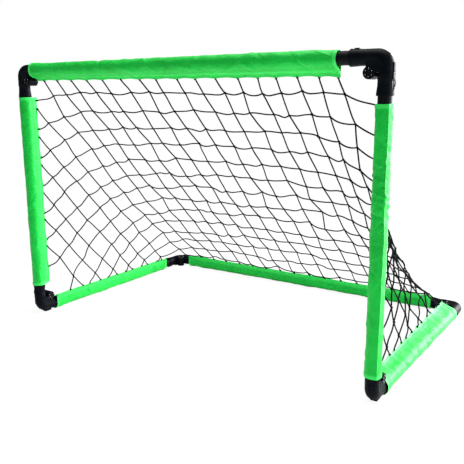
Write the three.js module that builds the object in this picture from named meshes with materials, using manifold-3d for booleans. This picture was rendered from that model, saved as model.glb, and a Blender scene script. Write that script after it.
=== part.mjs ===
// A small folding floorball goal: six plastic tubes in six two-piece hinged elbows,
// a fabric sleeve on every tube, and one knotted net laced to the sleeves' hems.
// Millimetres, +Z up. The mouth faces -Y, and the origin is on the floor below the
// middle of the goal.

import * as THREE from 'three';
import { mergeVertices } from 'three/addons/utils/BufferGeometryUtils.js';
import Module from 'manifold-3d';

const wasm = await Module();
wasm.setup();

// Driving sizes

// distances between the axes of opposite bars
const frame = { width: 872, height: 572, depth: 556 };

const tube = { radius: 11, wall: 1.6, sides: 16 };

const elbow = {
  bendRadius: 15,       // of the centre line
  bodyRadius: 12.3,     // outside of the bend
  socketRadius: 12.6,   // outside of the straight sockets
  rimRadius: 13.6,      // at the flared mouth
  reach: 60,            // from the corner of the axes to the mouth
  flare: 19,            // length of the cone before the mouth
  lip: 3,               // straight rim at the mouth
  seam: 24,             // from the corner to the split between the halves
  stop: 28,             // from the corner to the shoulder that the tube meets
  sides: 16,
  bendSteps: 9,
};

// the flat pad under each elbow on the floor
const foot = {
  drop: 15.6,           // from the tube's axis to the floor
  start: 9,             // from the corner of the axes
  end: 27,
  half: 6.5,            // half its width
};

// the raised rib down the outer side, across the seam
const rib = { start: 8, end: 34.5, half: 4.5, standOff: 13.9, depth: 4 };

const hinge = {
  offset: 24,           // from both bars' axes to the pin
  radius: 10.7,         // of the knuckles
  halfLength: 12.4,     // of the whole barrel
  centreHalf: 4.6,      // half the length of the middle knuckle
  webStart: 4,          // where the gusset starts inside the bend
  webPast: 6,           // how far the gusset and the web reach past the pin
  pinRadius: 3,
  headRadius: 6,
  headThick: 1.2,
  headRecess: 1.5,
  sides: 16,
  pinSides: 10,
};

const spigot = { radius: 8, bore: 5.6, height: 3.6, depth: 9, sides: 12 };

// the sprung tongue moulded into each straight socket, and its window
const tongue = {
  start: 37,            // root, from the corner
  end: 50.5,            // tip
  width: 6,
  thick: 1.4,
  standOff: 12.7,       // from the tube's axis to its outer face, at the root
  bow: 0.55,            // how far its middle stands out
  tipInset: 1.3,        // how far its tip turns back in
  windowSide: 1.1,      // free space beside and past it
};

const nub = { radius: 1.5, height: 0.7, sides: 8 };

const sleeve = {
  radius: 14.5,         // outside, round the tube
  mouthRadius: 15.4,    // outside, where it runs over an elbow's mouth
  reach: 29,            // from the tube's axis to the hem
  scallop: 1.6,         // how far the hem draws in between two cords
  hemHalf: 1.1,         // half the thickness of the hem
  waistReach: 20.5,     // where the two layers come together
  waistHalf: 4.2,
  roundSteps: 9,        // facets round the tube
  roundStart: 58,       // degrees from the hem to where the round part starts
  taper: 1.5,           // length of the step in its bore
  tieInset: 5,          // from its ends to the nearest cord
};

// how far each sleeve's ends stay from the corners of the axes
const sleeveEnds = {
  crossbar: [36, 81],
  leftPost: [58, 61],
  rightPost: [36, 73],
  leftSideBar: [40, 84],
  rightSideBar: [38, 60],
  rearBar: [50, 73],
};

// how the pull of the net turns each hem, in degrees
const hemTurn = { crossbar: 22, post: 10, sideBar: 38, rearBar: 40 };

const net = {
  columns: 12,          // meshes across the mouth, from fold to fold
  rows: 11,             // knots down each column of the back
  firstRow: 0.75,       // from the crossbar to the first row, in meshes
  lastRow: 0.35,        // from the last row to the rear bar
  cornerCut: 0.13,      // share of each side's edges that is cut off at the fold
  rowPull: 0.15,        // how hard a row is drawn, next to a column
  cordHalf: 1.1,        // half the thickness of a cord
  sag: 0.15,            // how far its own weight lowers each knot below its neighbours' mean
  edgeShare: 0.3,       // a knot closer to a hem than this share of a mesh is left out
  rounds: 900,          // of relaxing
};

const clearance = {
  boreGap: 0.3,         // tube in its socket, pin in its knuckle
  seamGap: 0.3,         // between the two halves of an elbow
  knuckleGap: 0.3,      // beside and round the knuckles
  spigotGap: 0.5,
  sleeveGap: 0.3,       // round the tube, and round the flared mouth
  netGap: 0.3,          // between a cord's end and the hem, and between panels
};

const overrun = 2;        // how far a cutting body runs past what it cuts

// Colours and finishes

const finish = {
  tube: { color: 0x17191b, roughness: 0.5, metalness: 0.0 },
  elbow: { color: 0x101214, roughness: 0.42, metalness: 0.0 },
  pin: { color: 0x26292c, roughness: 0.35, metalness: 0.0 },
  fabric: { color: 0x23bd4c, roughness: 0.85, metalness: 0.0 },
  net: { color: 0x15171a, roughness: 0.9, metalness: 0.0 },
};

// Places that follow from the sizes

const floorAxis = foot.drop;
const topAxis = floorAxis + frame.height;
const frontAxis = -frame.depth / 2;
const rearAxis = frame.depth / 2;
const leftAxis = -frame.width / 2;
const rightAxis = frame.width / 2;

const X = new THREE.Vector3(1, 0, 0);
const Y = new THREE.Vector3(0, 1, 0);
const Z = new THREE.Vector3(0, 0, 1);
const back = (v) => v.clone().negate();

const corners = {
  topLeft: new THREE.Vector3(leftAxis, frontAxis, topAxis),
  topRight: new THREE.Vector3(rightAxis, frontAxis, topAxis),
  frontLeft: new THREE.Vector3(leftAxis, frontAxis, floorAxis),
  frontRight: new THREE.Vector3(rightAxis, frontAxis, floorAxis),
  rearLeft: new THREE.Vector3(leftAxis, rearAxis, floorAxis),
  rearRight: new THREE.Vector3(rightAxis, rearAxis, floorAxis),
};

// Solids: joins and cuts of closed meshes

function solidOf(geometry) {
  const bare = geometry.clone();
  bare.deleteAttribute('normal');
  bare.deleteAttribute('uv');
  const merged = mergeVertices(bare, 1e-4);
  return new wasm.Manifold(new wasm.Mesh({
    numProp: 3,
    vertProperties: new Float32Array(merged.attributes.position.array),
    triVerts: new Uint32Array(merged.index.array),
  }));
}

function geometryOf(solid) {
  const mesh = solid.getMesh();
  const geometry = new THREE.BufferGeometry();
  geometry.setAttribute('position', new THREE.BufferAttribute(new Float32Array(mesh.vertProperties), 3));
  geometry.setIndex(new THREE.BufferAttribute(new Uint32Array(mesh.triVerts), 1));
  geometry.computeVertexNormals();
  return geometry;
}

// a turned body along +Y: each profile point is [radius, place along the axis]
function turned(profile, sides) {
  const points = profile.map(([r, y]) => new THREE.Vector2(r, y));
  return new THREE.LatheGeometry(points, sides);
}

function rod(radius, start, end, sides) {
  return turned([[0, start], [radius, start], [radius, end], [0, end]], sides);
}

// a flat outline in X and Y, as thick as given, centred on Z = 0
function plate(outline, thickness) {
  const shape = new THREE.Shape(outline.map(([x, y]) => new THREE.Vector2(x, y)));
  const geometry = new THREE.ExtrudeGeometry(shape, { depth: thickness, bevelEnabled: false });
  return geometry.translate(0, 0, -thickness / 2);
}

function block(low, high) {
  const size = high.map((v, i) => v - low[i]);
  const geometry = new THREE.BoxGeometry(...size);
  return geometry.translate(...high.map((v, i) => (v + low[i]) / 2));
}

// Elbows. In an elbow's own frame the corner of the axes is the origin, the bend half's
// socket points along +X, the straight half's along +Y, and the pin runs along Z.

const alongX = (geometry) => geometry.rotateZ(-Math.PI / 2);
const alongZ = (geometry) => geometry.rotateX(Math.PI / 2);

const barrelRod = (radius, start, end, sides) => alongZ(rod(radius, start, end, sides))
  .translate(hinge.offset, hinge.offset, 0);

class BendLine extends THREE.Curve {
  // from the seam, round the bend, to where the socket starts
  constructor(seam, radius, tail) {
    super();
    this.seam = seam;
    this.radius = radius;
    this.lead = seam - radius;
    this.tail = tail;
    this.arc = radius * Math.PI / 2;
    this.total = this.lead + this.arc + this.tail;
  }

  getPoint(t, target = new THREE.Vector3()) {
    const s = t * this.total;
    if (s < this.lead) return target.set(0, this.seam - s, 0);
    if (s > this.lead + this.arc) return target.set(this.radius + s - this.lead - this.arc, 0, 0);
    const turn = (s - this.lead) / this.radius;
    return target.set(this.radius * (1 - Math.cos(turn)), this.radius * (1 - Math.sin(turn)), 0);
  }
}

// the outside of a socket from `start` to its flared mouth, along +Y
function socketBody(start) {
  return turned([
    [0, start],
    [elbow.socketRadius, start],
    [elbow.socketRadius, elbow.reach - elbow.flare],
    [elbow.rimRadius, elbow.reach - elbow.lip],
    [elbow.rimRadius, elbow.reach],
    [0, elbow.reach],
  ], elbow.sides);
}

const socketBore = () => rod(tube.radius + clearance.boreGap, elbow.stop, elbow.reach + overrun, tube.sides);

function bendHalf(floorSide) {
  const face = elbow.seam - clearance.seamGap / 2;
  const circle = new THREE.Shape().absarc(0, 0, elbow.bodyRadius, 0, Math.PI * 2);
  const bend = new THREE.ExtrudeGeometry(circle, {
    steps: elbow.bendSteps,
    curveSegments: elbow.sides / 2,
    bevelEnabled: false,
    extrudePath: new BendLine(face, elbow.bendRadius, overrun),
  });
  const gusset = plate([
    [hinge.webStart, 0],
    [hinge.offset + hinge.webPast, 0],
    [hinge.offset + hinge.webPast, hinge.offset],
    [elbow.bodyRadius, face],
    [hinge.webStart, face],
  ], hinge.halfLength * 2);
  const centreGap = hinge.centreHalf + clearance.knuckleGap;
  const spigotTop = elbow.seam + spigot.height;
  const hollow = rod(spigot.bore, elbow.seam - spigot.depth, spigotTop + overrun, spigot.sides);
  const ring = rod(spigot.radius, elbow.seam - overrun, spigotTop, spigot.sides);
  const nubPlace = elbow.bendRadius - (elbow.bendRadius + elbow.bodyRadius) * Math.SQRT1_2;
  const nubBody = rod(nub.radius, -nub.height, nub.height + overrun, nub.sides)
    .rotateZ(-Math.PI / 4)
    .translate(nubPlace, nubPlace, 0);
  let solid = solidOf(bend)
    .add(solidOf(alongX(socketBody(elbow.bendRadius))))
    .add(solidOf(ribBlock(rib.start, face)))
    .add(solidOf(gusset))
    .add(solidOf(barrelRod(hinge.radius, -hinge.halfLength, hinge.halfLength, hinge.sides)))
    .add(solidOf(ring))
    .add(solidOf(nubBody))
    .subtract(solidOf(barrelRod(hinge.radius + clearance.knuckleGap, -centreGap, centreGap, hinge.sides)))
    .subtract(solidOf(hollow));
  if (floorSide) solid = solid.add(solidOf(footPad(floorSide)));
  return pinBored(solid.subtract(solidOf(alongX(socketBore()))));
}

function straightHalf() {
  const face = elbow.seam + clearance.seamGap / 2;
  const web = plate([
    [0, face],
    [hinge.offset, hinge.offset],
    [hinge.offset, hinge.offset + hinge.webPast],
    [0, hinge.offset + hinge.webPast],
  ], hinge.centreHalf * 2);
  const holeRadius = spigot.radius + clearance.spigotGap;
  const spigotHole = rod(holeRadius, face - overrun, elbow.stop + overrun, spigot.sides);
  const windowHalf = tongue.width / 2 + tongue.windowSide;
  const window = block(
    [-elbow.rimRadius - overrun, tongue.start, -windowHalf],
    [-elbow.bodyRadius / 2, tongue.end + tongue.windowSide, windowHalf],
  );
  const root = tongue.start - overrun;
  const middle = (tongue.start + tongue.end) / 2;
  const outer = tongue.standOff;
  const spring = plate([
    [-outer, root],
    [-outer - tongue.bow, middle],
    [-outer + tongue.tipInset - tongue.thick / 2, tongue.end],
    [-outer + tongue.tipInset, tongue.end],
    [-outer + tongue.thick - tongue.bow, middle],
    [-outer + tongue.thick, root],
  ], tongue.width);
  const earGap = hinge.centreHalf + clearance.knuckleGap;
  const ears = hinge.halfLength + clearance.knuckleGap;
  let solid = solidOf(socketBody(face))
    .add(solidOf(ribBlock(face, rib.end)))
    .add(solidOf(web))
    .add(solidOf(barrelRod(hinge.radius, -hinge.centreHalf, hinge.centreHalf, hinge.sides)))
    .subtract(solidOf(window))
    .subtract(solidOf(socketBore()))
    .subtract(solidOf(spigotHole))
    .add(solidOf(spring));
  for (const side of [-1, 1]) {
    const low = Math.min(side * earGap, side * ears);
    const high = Math.max(side * earGap, side * ears);
    solid = solid.subtract(solidOf(barrelRod(hinge.radius + clearance.knuckleGap, low, high, hinge.sides)));
  }
  return pinBored(solid);
}

const ribBlock = (start, end) => block(
  [-rib.standOff, start, -rib.half],
  [rib.depth - rib.standOff, end, rib.half],
);

// the pad under the bend half, on the side given as the floor's direction
function footPad(floorSide) {
  const across = new THREE.Vector3().crossVectors(X, floorSide);
  const pad = block([foot.start, 0, -foot.half], [foot.end, foot.drop, foot.half]);
  const basis = new THREE.Matrix4().makeBasis(X, floorSide, across);
  return pad.applyMatrix4(basis);
}

// the hole for the pin, and the recesses for its heads
function pinBored(solid) {
  const ends = hinge.halfLength + overrun;
  const pinHole = barrelRod(hinge.pinRadius + clearance.boreGap, -ends, ends, hinge.pinSides);
  let bored = solid.subtract(solidOf(pinHole));
  for (const side of [-1, 1]) {
    const inner = side * (hinge.halfLength - hinge.headRecess);
    const low = Math.min(inner, side * ends);
    const high = Math.max(inner, side * ends);
    bored = bored.subtract(solidOf(barrelRod(hinge.headRadius + clearance.boreGap, low, high, hinge.sides)));
  }
  return bored;
}

function hingePin() {
  const headInner = hinge.halfLength - hinge.headRecess + clearance.boreGap / 2;
  const headOuter = headInner + hinge.headThick;
  const dome = hinge.headRadius - hinge.headThick / 2;
  return alongZ(turned([
    [0, -headOuter],
    [dome, -headOuter],
    [hinge.headRadius, -headOuter + hinge.headThick / 2],
    [hinge.headRadius, -headInner],
    [hinge.pinRadius, -headInner],
    [hinge.pinRadius, headInner],
    [hinge.headRadius, headInner],
    [hinge.headRadius, headOuter - hinge.headThick / 2],
    [dome, headOuter],
    [0, headOuter],
  ], hinge.pinSides)).translate(hinge.offset, hinge.offset, 0);
}

// Tubes: a ring run from stop to stop

function straightTube(length) {
  const ring = new THREE.Shape().absarc(0, 0, tube.radius, 0, Math.PI * 2);
  ring.holes.push(new THREE.Path().absarc(0, 0, tube.radius - tube.wall, 0, Math.PI * 2, true));
  const run = length - 2 * (elbow.stop + clearance.boreGap);
  const body = new THREE.ExtrudeGeometry(ring, {
    depth: run,
    curveSegments: tube.sides / 2,
    bevelEnabled: false,
  });
  return body.translate(0, 0, elbow.stop + clearance.boreGap);
}

// The net, in the flat: a square mesh of columns, which run from the crossbar to the rear
// bar, and rows across them. Past the fold on each side the same mesh goes on over the
// triangle between post and side bar.

// the line that a sleeve's cords are tied on, from the first to the last
function hemLine(from, to, direction, [first, last]) {
  const offset = direction.clone().multiplyScalar(sleeve.reach + clearance.netGap + net.cordHalf);
  const along = to.clone().sub(from).normalize();
  return {
    start: from.clone().add(offset).addScaledVector(along, first + sleeve.tieInset),
    end: to.clone().add(offset).addScaledVector(along, -last - sleeve.tieInset),
  };
}

const turnFrom = (from, towards, degrees) => {
  const a = THREE.MathUtils.degToRad(degrees);
  return from.clone().multiplyScalar(Math.cos(a)).add(towards.clone().multiplyScalar(Math.sin(a)));
};

const hemWay = {
  crossbar: turnFrom(back(Z), Y, hemTurn.crossbar),
  leftPost: turnFrom(Y, X, hemTurn.post),
  rightPost: turnFrom(Y, back(X), hemTurn.post),
  leftSideBar: turnFrom(Z, X, hemTurn.sideBar),
  rightSideBar: turnFrom(Z, back(X), hemTurn.sideBar),
  rearBar: turnFrom(Z, back(Y), hemTurn.rearBar),
};

const ends = sleeveEnds;
const reversed = ([first, last]) => [last, first];
const { topLeft, topRight, frontLeft, frontRight, rearLeft, rearRight } = corners;

const hems = {
  crossbar: hemLine(topLeft, topRight, hemWay.crossbar, ends.crossbar),
  rearBar: hemLine(rearLeft, rearRight, hemWay.rearBar, ends.rearBar),
  leftPost: hemLine(topLeft, frontLeft, hemWay.leftPost, reversed(ends.leftPost)),
  rightPost: hemLine(topRight, frontRight, hemWay.rightPost, reversed(ends.rightPost)),
  leftSideBar: hemLine(rearLeft, frontLeft, hemWay.leftSideBar, reversed(ends.leftSideBar)),
  rightSideBar: hemLine(rearRight, frontRight, hemWay.rightSideBar, reversed(ends.rightSideBar)),
};

// the four ways from a knot, as steps across and down the flat net
const linkWays = { up: [0, -1], down: [0, 1], left: [-1, 0], right: [1, 0] };
const opposite = { up: 'down', down: 'up', left: 'right', right: 'left' };

const onLine = (line, share) => line.start.clone().lerp(line.end, share);

const slope = Math.hypot(frame.height, frame.depth);
const apexAcross = frame.height * frame.depth / slope;   // from the fold to the front corner
const apexDown = frame.height ** 2 / slope;              // down the fold to beside that corner
const halfWidth = frame.width / 2;

// a mesh across and a mesh down
const across = frame.width / net.columns;
const down = slope / (net.rows - 1 + net.firstRow + net.lastRow);

// where along a hem a share of a side's edge is tied: its cut corner is at the hem's end
const pastCut = (share) => Math.max(0, (share - net.cornerCut) / (1 - net.cornerCut));

// the flat net's edges at a column: first and last place down it, and what they tie to
function columnEdges(a) {
  const past = Math.abs(a) - halfWidth;
  if (past <= 0) {
    const share = (a + halfWidth) / frame.width;
    return {
      top: { at: 0, place: onLine(hems.crossbar, share) },
      bottom: { at: slope, place: onLine(hems.rearBar, share) },
    };
  }
  const share = past / apexAcross;
  const side = a < 0 ? 'left' : 'right';
  const bottomAt = slope - (slope - apexDown) * share;
  return {
    top: { at: apexDown * share, place: onLine(hems[`${side}Post`], pastCut(share)) },
    bottom: { at: bottomAt, place: onLine(hems[`${side}SideBar`], pastCut(share)) },
  };
}

// the flat net's edge at a row, on one side
function rowEdge(b, sideSign) {
  const side = sideSign < 0 ? 'left' : 'right';
  const onPost = b < apexDown;
  const share = onPost ? b / apexDown : (slope - b) / (slope - apexDown);
  const line = hems[`${side}${onPost ? 'Post' : 'SideBar'}`];
  const past = apexAcross * Math.max(share, net.cornerCut);
  return { at: sideSign * (halfWidth + past), place: onLine(line, pastCut(share)) };
}

function knotGrid() {
  const reach = Math.floor((halfWidth + apexAcross) / across);
  const knots = new Map();
  for (let i = -reach; i <= reach; i += 1) {
    const a = i * frame.width / net.columns;
    const edges = columnEdges(a);
    for (let j = 0; j < net.rows; j += 1) {
      const b = (net.firstRow + j) * down;
      const start = edges.top.place.clone().lerp(edges.bottom.place, b / slope);
      const knot = { i, j, a, b, place: start, edges: edgeLinks(a, b) };
      const nearest = Math.min(...Object.values(knot.edges).map((link) => link.meshes));
      if (nearest > net.edgeShare) knots.set(`${i},${j}`, knot);
    }
  }
  for (const knot of knots.values()) {
    knot.links = {};
    for (const [name, [x, y]] of Object.entries(linkWays)) {
      knot.links[name] = knots.get(`${knot.i + x},${knot.j + y}`) ?? knot.edges[name];
    }
  }
  relax(knots);
  return knots;
}

// what a knot's four cords tie to where no other knot follows, and how many meshes away
function edgeLinks(a, b) {
  const { top, bottom } = columnEdges(a);
  const right = rowEdge(b, 1);
  const left = rowEdge(b, -1);
  return {
    up: { tied: true, place: top.place, meshes: (b - top.at) / down },
    down: { tied: true, place: bottom.place, meshes: (bottom.at - b) / down },
    left: { tied: true, place: left.place, meshes: (a - left.at) / across },
    right: { tied: true, place: right.place, meshes: (right.at - a) / across },
  };
}

// draws every knot to the mean of its neighbours, weighted as the cords between them pull:
// the columns carry the net, and the rows lie slack between them
function relax(knots) {
  const sum = new THREE.Vector3();
  for (let round = 0; round < net.rounds; round += 1) {
    for (const knot of knots.values()) {
      sum.set(0, 0, 0);
      let total = 0;
      for (const [name, link] of Object.entries(knot.links)) {
        const share = linkWays[name][0] ? net.rowPull : 1;
        const pull = link.tied ? share / link.meshes : share;
        sum.addScaledVector(link.place, pull);
        total += pull;
      }
      knot.place.copy(sum.multiplyScalar(1 / total));
      knot.place.z -= net.sag;
    }
  }
}

// The lattice: at each knot a small block, and between two knots the four faces of a cord

function knotFrame(knot) {
  const along = knot.links.down.place.clone().sub(knot.links.up.place).normalize();
  const across = knot.links.right.place.clone().sub(knot.links.left.place);
  across.addScaledVector(along, -across.dot(along)).normalize();
  return { along, across, normal: new THREE.Vector3().crossVectors(across, along) };
}

function netPanel(members) {
  const positions = [];
  const triangles = [];
  const add = (v) => positions.push(v.x, v.y, v.z) / 3 - 1;
  const quad = (a, b, c, d) => triangles.push(a, b, c, a, c, d);
  for (const knot of members) {
    const { along, across, normal } = knotFrame(knot);
    knot.frame = { along, across, normal };
    knot.corner = {};
    for (const x of [-1, 1]) {
      for (const y of [-1, 1]) {
        for (const z of [-1, 1]) {
          const v = knot.place.clone()
            .addScaledVector(across, x * net.cordHalf)
            .addScaledVector(along, y * net.cordHalf)
            .addScaledVector(normal, z * net.cordHalf);
          knot.corner[`${x}${y}${z}`] = add(v);
        }
      }
    }
  }
  // the four corners on one side of a knot, in the order round its cord
  const face = (knot, [x, y]) => {
    const c = (p, q) => knot.corner[x ? `${x}${p}${q}` : `${p}${y}${q}`];
    return [c(-1, -1), c(1, -1), c(1, 1), c(-1, 1)];
  };
  const inPanel = new Set(members);
  for (const knot of members) {
    const k = knot.corner;
    quad(k['-1-11'], k['1-11'], k['111'], k['-111']);
    quad(k['-1-1-1'], k['-11-1'], k['11-1'], k['1-1-1']);
    for (const [name, way] of Object.entries(linkWays)) {
      const ring = face(knot, way);
      // whether this ring turns the right way round when it is seen from outside
      const turnsOut = name === 'up' || name === 'right';
      const wall = (a, b) => {
        for (let n = 0; n < 4; n += 1) {
          const m = (n + 1) % 4;
          if (turnsOut) quad(a[n], a[m], b[m], b[n]);
          else quad(a[m], a[n], b[n], b[m]);
        }
      };
      const other = knot.links[name];
      if (inPanel.has(other)) {
        if (name === 'down' || name === 'right') wall(ring, face(other, linkWays[opposite[name]]));
        continue;
      }
      // a cord's free end: at the hem, or halfway to the next panel
      const towards = other.place.clone().sub(knot.place);
      const run = towards.length();
      const length = other.tied ? run : (run - clearance.netGap) / 2;
      towards.divideScalar(run);
      const end = ring.map((index) => {
        const v = new THREE.Vector3().fromArray(positions, index * 3);
        const gone = v.clone().sub(knot.place).dot(towards);
        return add(v.addScaledVector(towards, length - gone));
      });
      wall(ring, end);
      if (turnsOut) quad(...end);
      else quad(end[3], end[2], end[1], end[0]);
    }
  }
  const geometry = new THREE.BufferGeometry();
  geometry.setAttribute('position', new THREE.Float32BufferAttribute(positions, 3));
  geometry.setIndex(triangles);
  geometry.computeVertexNormals();
  return geometry;
}

// Sleeves: a strip of cloth round the tube, its two edges sewn together at the hem. The hem
// is drawn out at each cord of the net and in between them.

function sleeveOutline({ radius, reach }) {
  const points = [];
  const start = THREE.MathUtils.degToRad(sleeve.roundStart);
  for (let n = 0; n <= sleeve.roundSteps; n += 1) {
    const angle = start + (Math.PI * 2 - start * 2) * (n / sleeve.roundSteps);
    points.push([radius * Math.cos(angle), radius * Math.sin(angle)]);
  }
  const waist = sleeve.waistReach + (reach - sleeve.reach) / 2;
  return [
    [waist, sleeve.waistHalf],
    ...points,
    [waist, -sleeve.waistHalf],
    [reach, -sleeve.hemHalf],
    [reach, sleeve.hemHalf],
  ];
}

// a ring of as many points as the outline has, whose flats stay outside the radius given
function boreOutline(radius) {
  const count = sleeve.roundSteps + 5;
  const step = Math.PI * 2 / count;
  const corner = radius / Math.cos(step / 2);
  const points = [];
  for (let n = 0; n < count; n += 1) {
    const angle = Math.PI + (n - (count - 3) / 2) * step;
    points.push([corner * Math.cos(angle), corner * Math.sin(angle)]);
  }
  return points;
}

function sleeveBody(length, [first, last], ties) {
  const low = first;
  const high = length - last;
  const mouth = elbow.reach + clearance.sleeveGap;
  const covers = [first < mouth, last < mouth];
  const radiusAt = (at) => {
    const nearLow = covers[0] && at < mouth + sleeve.taper;
    const nearHigh = covers[1] && at > length - mouth - sleeve.taper;
    return nearLow || nearHigh ? sleeve.mouthRadius : sleeve.radius;
  };
  const places = [{ at: low, reach: sleeve.reach }];
  const step = mouth + sleeve.taper - clearance.sleeveGap;
  if (covers[0]) places.push({ at: step, reach: sleeve.reach });
  let previous = null;
  for (const tie of ties) {
    if (previous !== null) places.push({ at: (previous + tie) / 2, reach: sleeve.reach - sleeve.scallop });
    places.push({ at: tie, reach: sleeve.reach });
    previous = tie;
  }
  if (covers[1]) places.push({ at: length - step, reach: sleeve.reach });
  places.push({ at: high, reach: sleeve.reach });
  places.sort((a, b) => a.at - b.at);
  const stations = places.filter(({ at }, n) => n === 0 || at - places[n - 1].at > clearance.sleeveGap);
  const positions = [];
  const triangles = [];
  const ringOf = (outline, at) => outline.map(([x, y]) => positions.push(x, y, at) / 3 - 1);
  const rings = stations.map((s) => ringOf(sleeveOutline({ radius: radiusAt(s.at), reach: s.reach }), s.at));

  // the bore is wide where the sleeve runs over an elbow's mouth, and follows the tube elsewhere
  const wide = elbow.rimRadius + clearance.sleeveGap;
  const narrow = tube.radius + clearance.sleeveGap;
  const bores = [];
  if (covers[0]) bores.push([low, wide], [mouth, wide]);
  bores.push([covers[0] ? mouth + sleeve.taper : low, narrow]);
  bores.push([covers[1] ? length - mouth - sleeve.taper : high, narrow]);
  if (covers[1]) bores.push([length - mouth, wide], [high, wide]);
  const boreRings = bores.map(([at, radius]) => ringOf(boreOutline(radius), at));
  const count = boreRings[0].length;
  const strip = (a, b) => {
    for (let n = 0; n < count; n += 1) {
      const m = (n + 1) % count;
      triangles.push(a[n], a[m], b[m], a[n], b[m], b[n]);
    }
  };
  for (let n = 0; n + 1 < rings.length; n += 1) strip(rings[n], rings[n + 1]);
  for (let n = 0; n + 1 < boreRings.length; n += 1) strip(boreRings[n + 1], boreRings[n]);
  strip(boreRings[0], rings[0]);
  strip(rings.at(-1), boreRings.at(-1));
  const geometry = new THREE.BufferGeometry();
  geometry.setAttribute('position', new THREE.Float32BufferAttribute(positions, 3));
  geometry.setIndex(triangles);
  geometry.computeVertexNormals();
  return geometry;
}

// Assembly

const goal = new THREE.Group();

const dressed = (name, geometry, look) => {
  const mesh = new THREE.Mesh(geometry, new THREE.MeshStandardMaterial(finish[look]));
  mesh.name = name;
  return mesh;
};

const placed = (at, x, y) => {
  const group = new THREE.Group();
  const basis = new THREE.Matrix4().makeBasis(x, y, new THREE.Vector3().crossVectors(x, y));
  group.quaternion.setFromRotationMatrix(basis);
  group.position.copy(at);
  goal.add(group);
  return group;
};

// which way each elbow's bend socket and straight socket point, and where the floor is
const elbows = [
  { name: 'top_left', at: corners.topLeft, bend: X, straight: back(Z) },
  { name: 'top_right', at: corners.topRight, bend: back(X), straight: back(Z) },
  { name: 'front_left', at: corners.frontLeft, bend: Y, straight: Z, stands: true },
  { name: 'front_right', at: corners.frontRight, bend: Y, straight: Z, stands: true },
  { name: 'rear_left', at: corners.rearLeft, bend: back(Y), straight: X, stands: true },
  { name: 'rear_right', at: corners.rearRight, bend: back(Y), straight: back(X), stands: true },
];

for (const { name, at, bend, straight, stands } of elbows) {
  const group = placed(at, bend, straight);
  // the floor's direction in the elbow's own frame
  const down = back(Z).applyQuaternion(group.quaternion.clone().invert()).round();
  const floorSide = stands ? down : null;
  group.add(dressed(`${name}_elbow_bend`, geometryOf(bendHalf(floorSide)), 'elbow'));
  group.add(dressed(`${name}_elbow_socket`, geometryOf(straightHalf()), 'elbow'));
  group.add(dressed(`${name}_hinge_pin`, hingePin(), 'pin'));
}

const knots = knotGrid();

// where the net is tied along a bar, measured from the bar's start
function tiesOn(start, axis, hem) {
  const ties = [];
  for (const knot of knots.values()) {
    for (const link of Object.values(knot.links)) {
      if (!link.tied) continue;
      const line = hem.end.clone().sub(hem.start).normalize();
      const offset = link.place.clone().sub(hem.start);
      if (offset.clone().addScaledVector(line, -offset.dot(line)).length() < net.cordHalf) {
        ties.push(link.place.clone().sub(start).dot(axis));
      }
    }
  }
  return ties.sort((a, b) => a - b);
}

// each bar's own frame has the hem along +X and the tube along +Z
const bars = [
  { name: 'crossbar', key: 'crossbar', start: corners.topLeft, axis: X, length: frame.width },
  { name: 'left_post', key: 'leftPost', start: corners.frontLeft, axis: Z, length: frame.height },
  { name: 'right_post', key: 'rightPost', start: corners.frontRight, axis: Z, length: frame.height },
  { name: 'left_side_bar', key: 'leftSideBar', start: corners.frontLeft, axis: Y, length: frame.depth },
  { name: 'right_side_bar', key: 'rightSideBar', start: corners.frontRight, axis: Y, length: frame.depth },
  { name: 'rear_bar', key: 'rearBar', start: corners.rearLeft, axis: X, length: frame.width },
];

for (const { name, key, start, axis, length } of bars) {
  const way = hemWay[key];
  const group = placed(start, way, new THREE.Vector3().crossVectors(axis, way));
  group.add(dressed(`${name}_tube`, straightTube(length), 'tube'));
  const ties = tiesOn(start, axis, hems[key]);
  group.add(dressed(`${name}_sleeve`, sleeveBody(length, sleeveEnds[key], ties), 'fabric'));
}

const all = [...knots.values()];
const panels = {
  net_back: all.filter((knot) => Math.abs(knot.i) <= net.columns / 2),
  net_left: all.filter((knot) => knot.i < -net.columns / 2),
  net_right: all.filter((knot) => knot.i > net.columns / 2),
};
for (const [name, members] of Object.entries(panels)) {
  goal.add(dressed(name, netPanel(members), 'net'));
}

export default goal;
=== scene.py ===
"""A small folding floorball goal.

Black tubes meet in two-piece hinged elbows. A green fabric sleeve is sewn round every
tube, and a black knotted net is laced to the sleeves' hems.
"""

import logging
import math
from dataclasses import dataclass, field
from enum import Enum

import bmesh
import bpy
import numpy as np
from bmesh.types import BMEdge, BMesh, BMVert
from bpy.types import ID, Material, Mesh, Node, NodeSocket, NodeTree, Object
from mathutils import Matrix, Vector, noise


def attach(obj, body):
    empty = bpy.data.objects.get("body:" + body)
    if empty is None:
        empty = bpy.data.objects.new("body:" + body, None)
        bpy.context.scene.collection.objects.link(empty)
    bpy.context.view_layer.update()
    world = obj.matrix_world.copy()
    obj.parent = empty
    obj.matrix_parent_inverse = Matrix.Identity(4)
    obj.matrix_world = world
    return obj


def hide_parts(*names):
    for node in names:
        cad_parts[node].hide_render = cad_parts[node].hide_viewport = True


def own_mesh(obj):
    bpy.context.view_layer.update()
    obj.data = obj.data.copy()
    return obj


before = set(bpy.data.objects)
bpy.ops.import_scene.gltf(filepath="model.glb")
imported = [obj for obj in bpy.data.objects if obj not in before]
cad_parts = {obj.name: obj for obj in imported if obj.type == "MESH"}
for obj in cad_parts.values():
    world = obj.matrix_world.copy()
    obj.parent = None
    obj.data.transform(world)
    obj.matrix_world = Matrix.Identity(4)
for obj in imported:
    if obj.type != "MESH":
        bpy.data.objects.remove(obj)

LOG = logging.getLogger("goal")
MM = 0.001
X, Y, Z = Vector((1, 0, 0)), Vector((0, 1, 0)), Vector((0, 0, 1))


class Body(str, Enum):
    """The two rigid bodies of the goal."""

    FRONT = "front_frame"
    FLOOR = "floor_frame"


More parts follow.
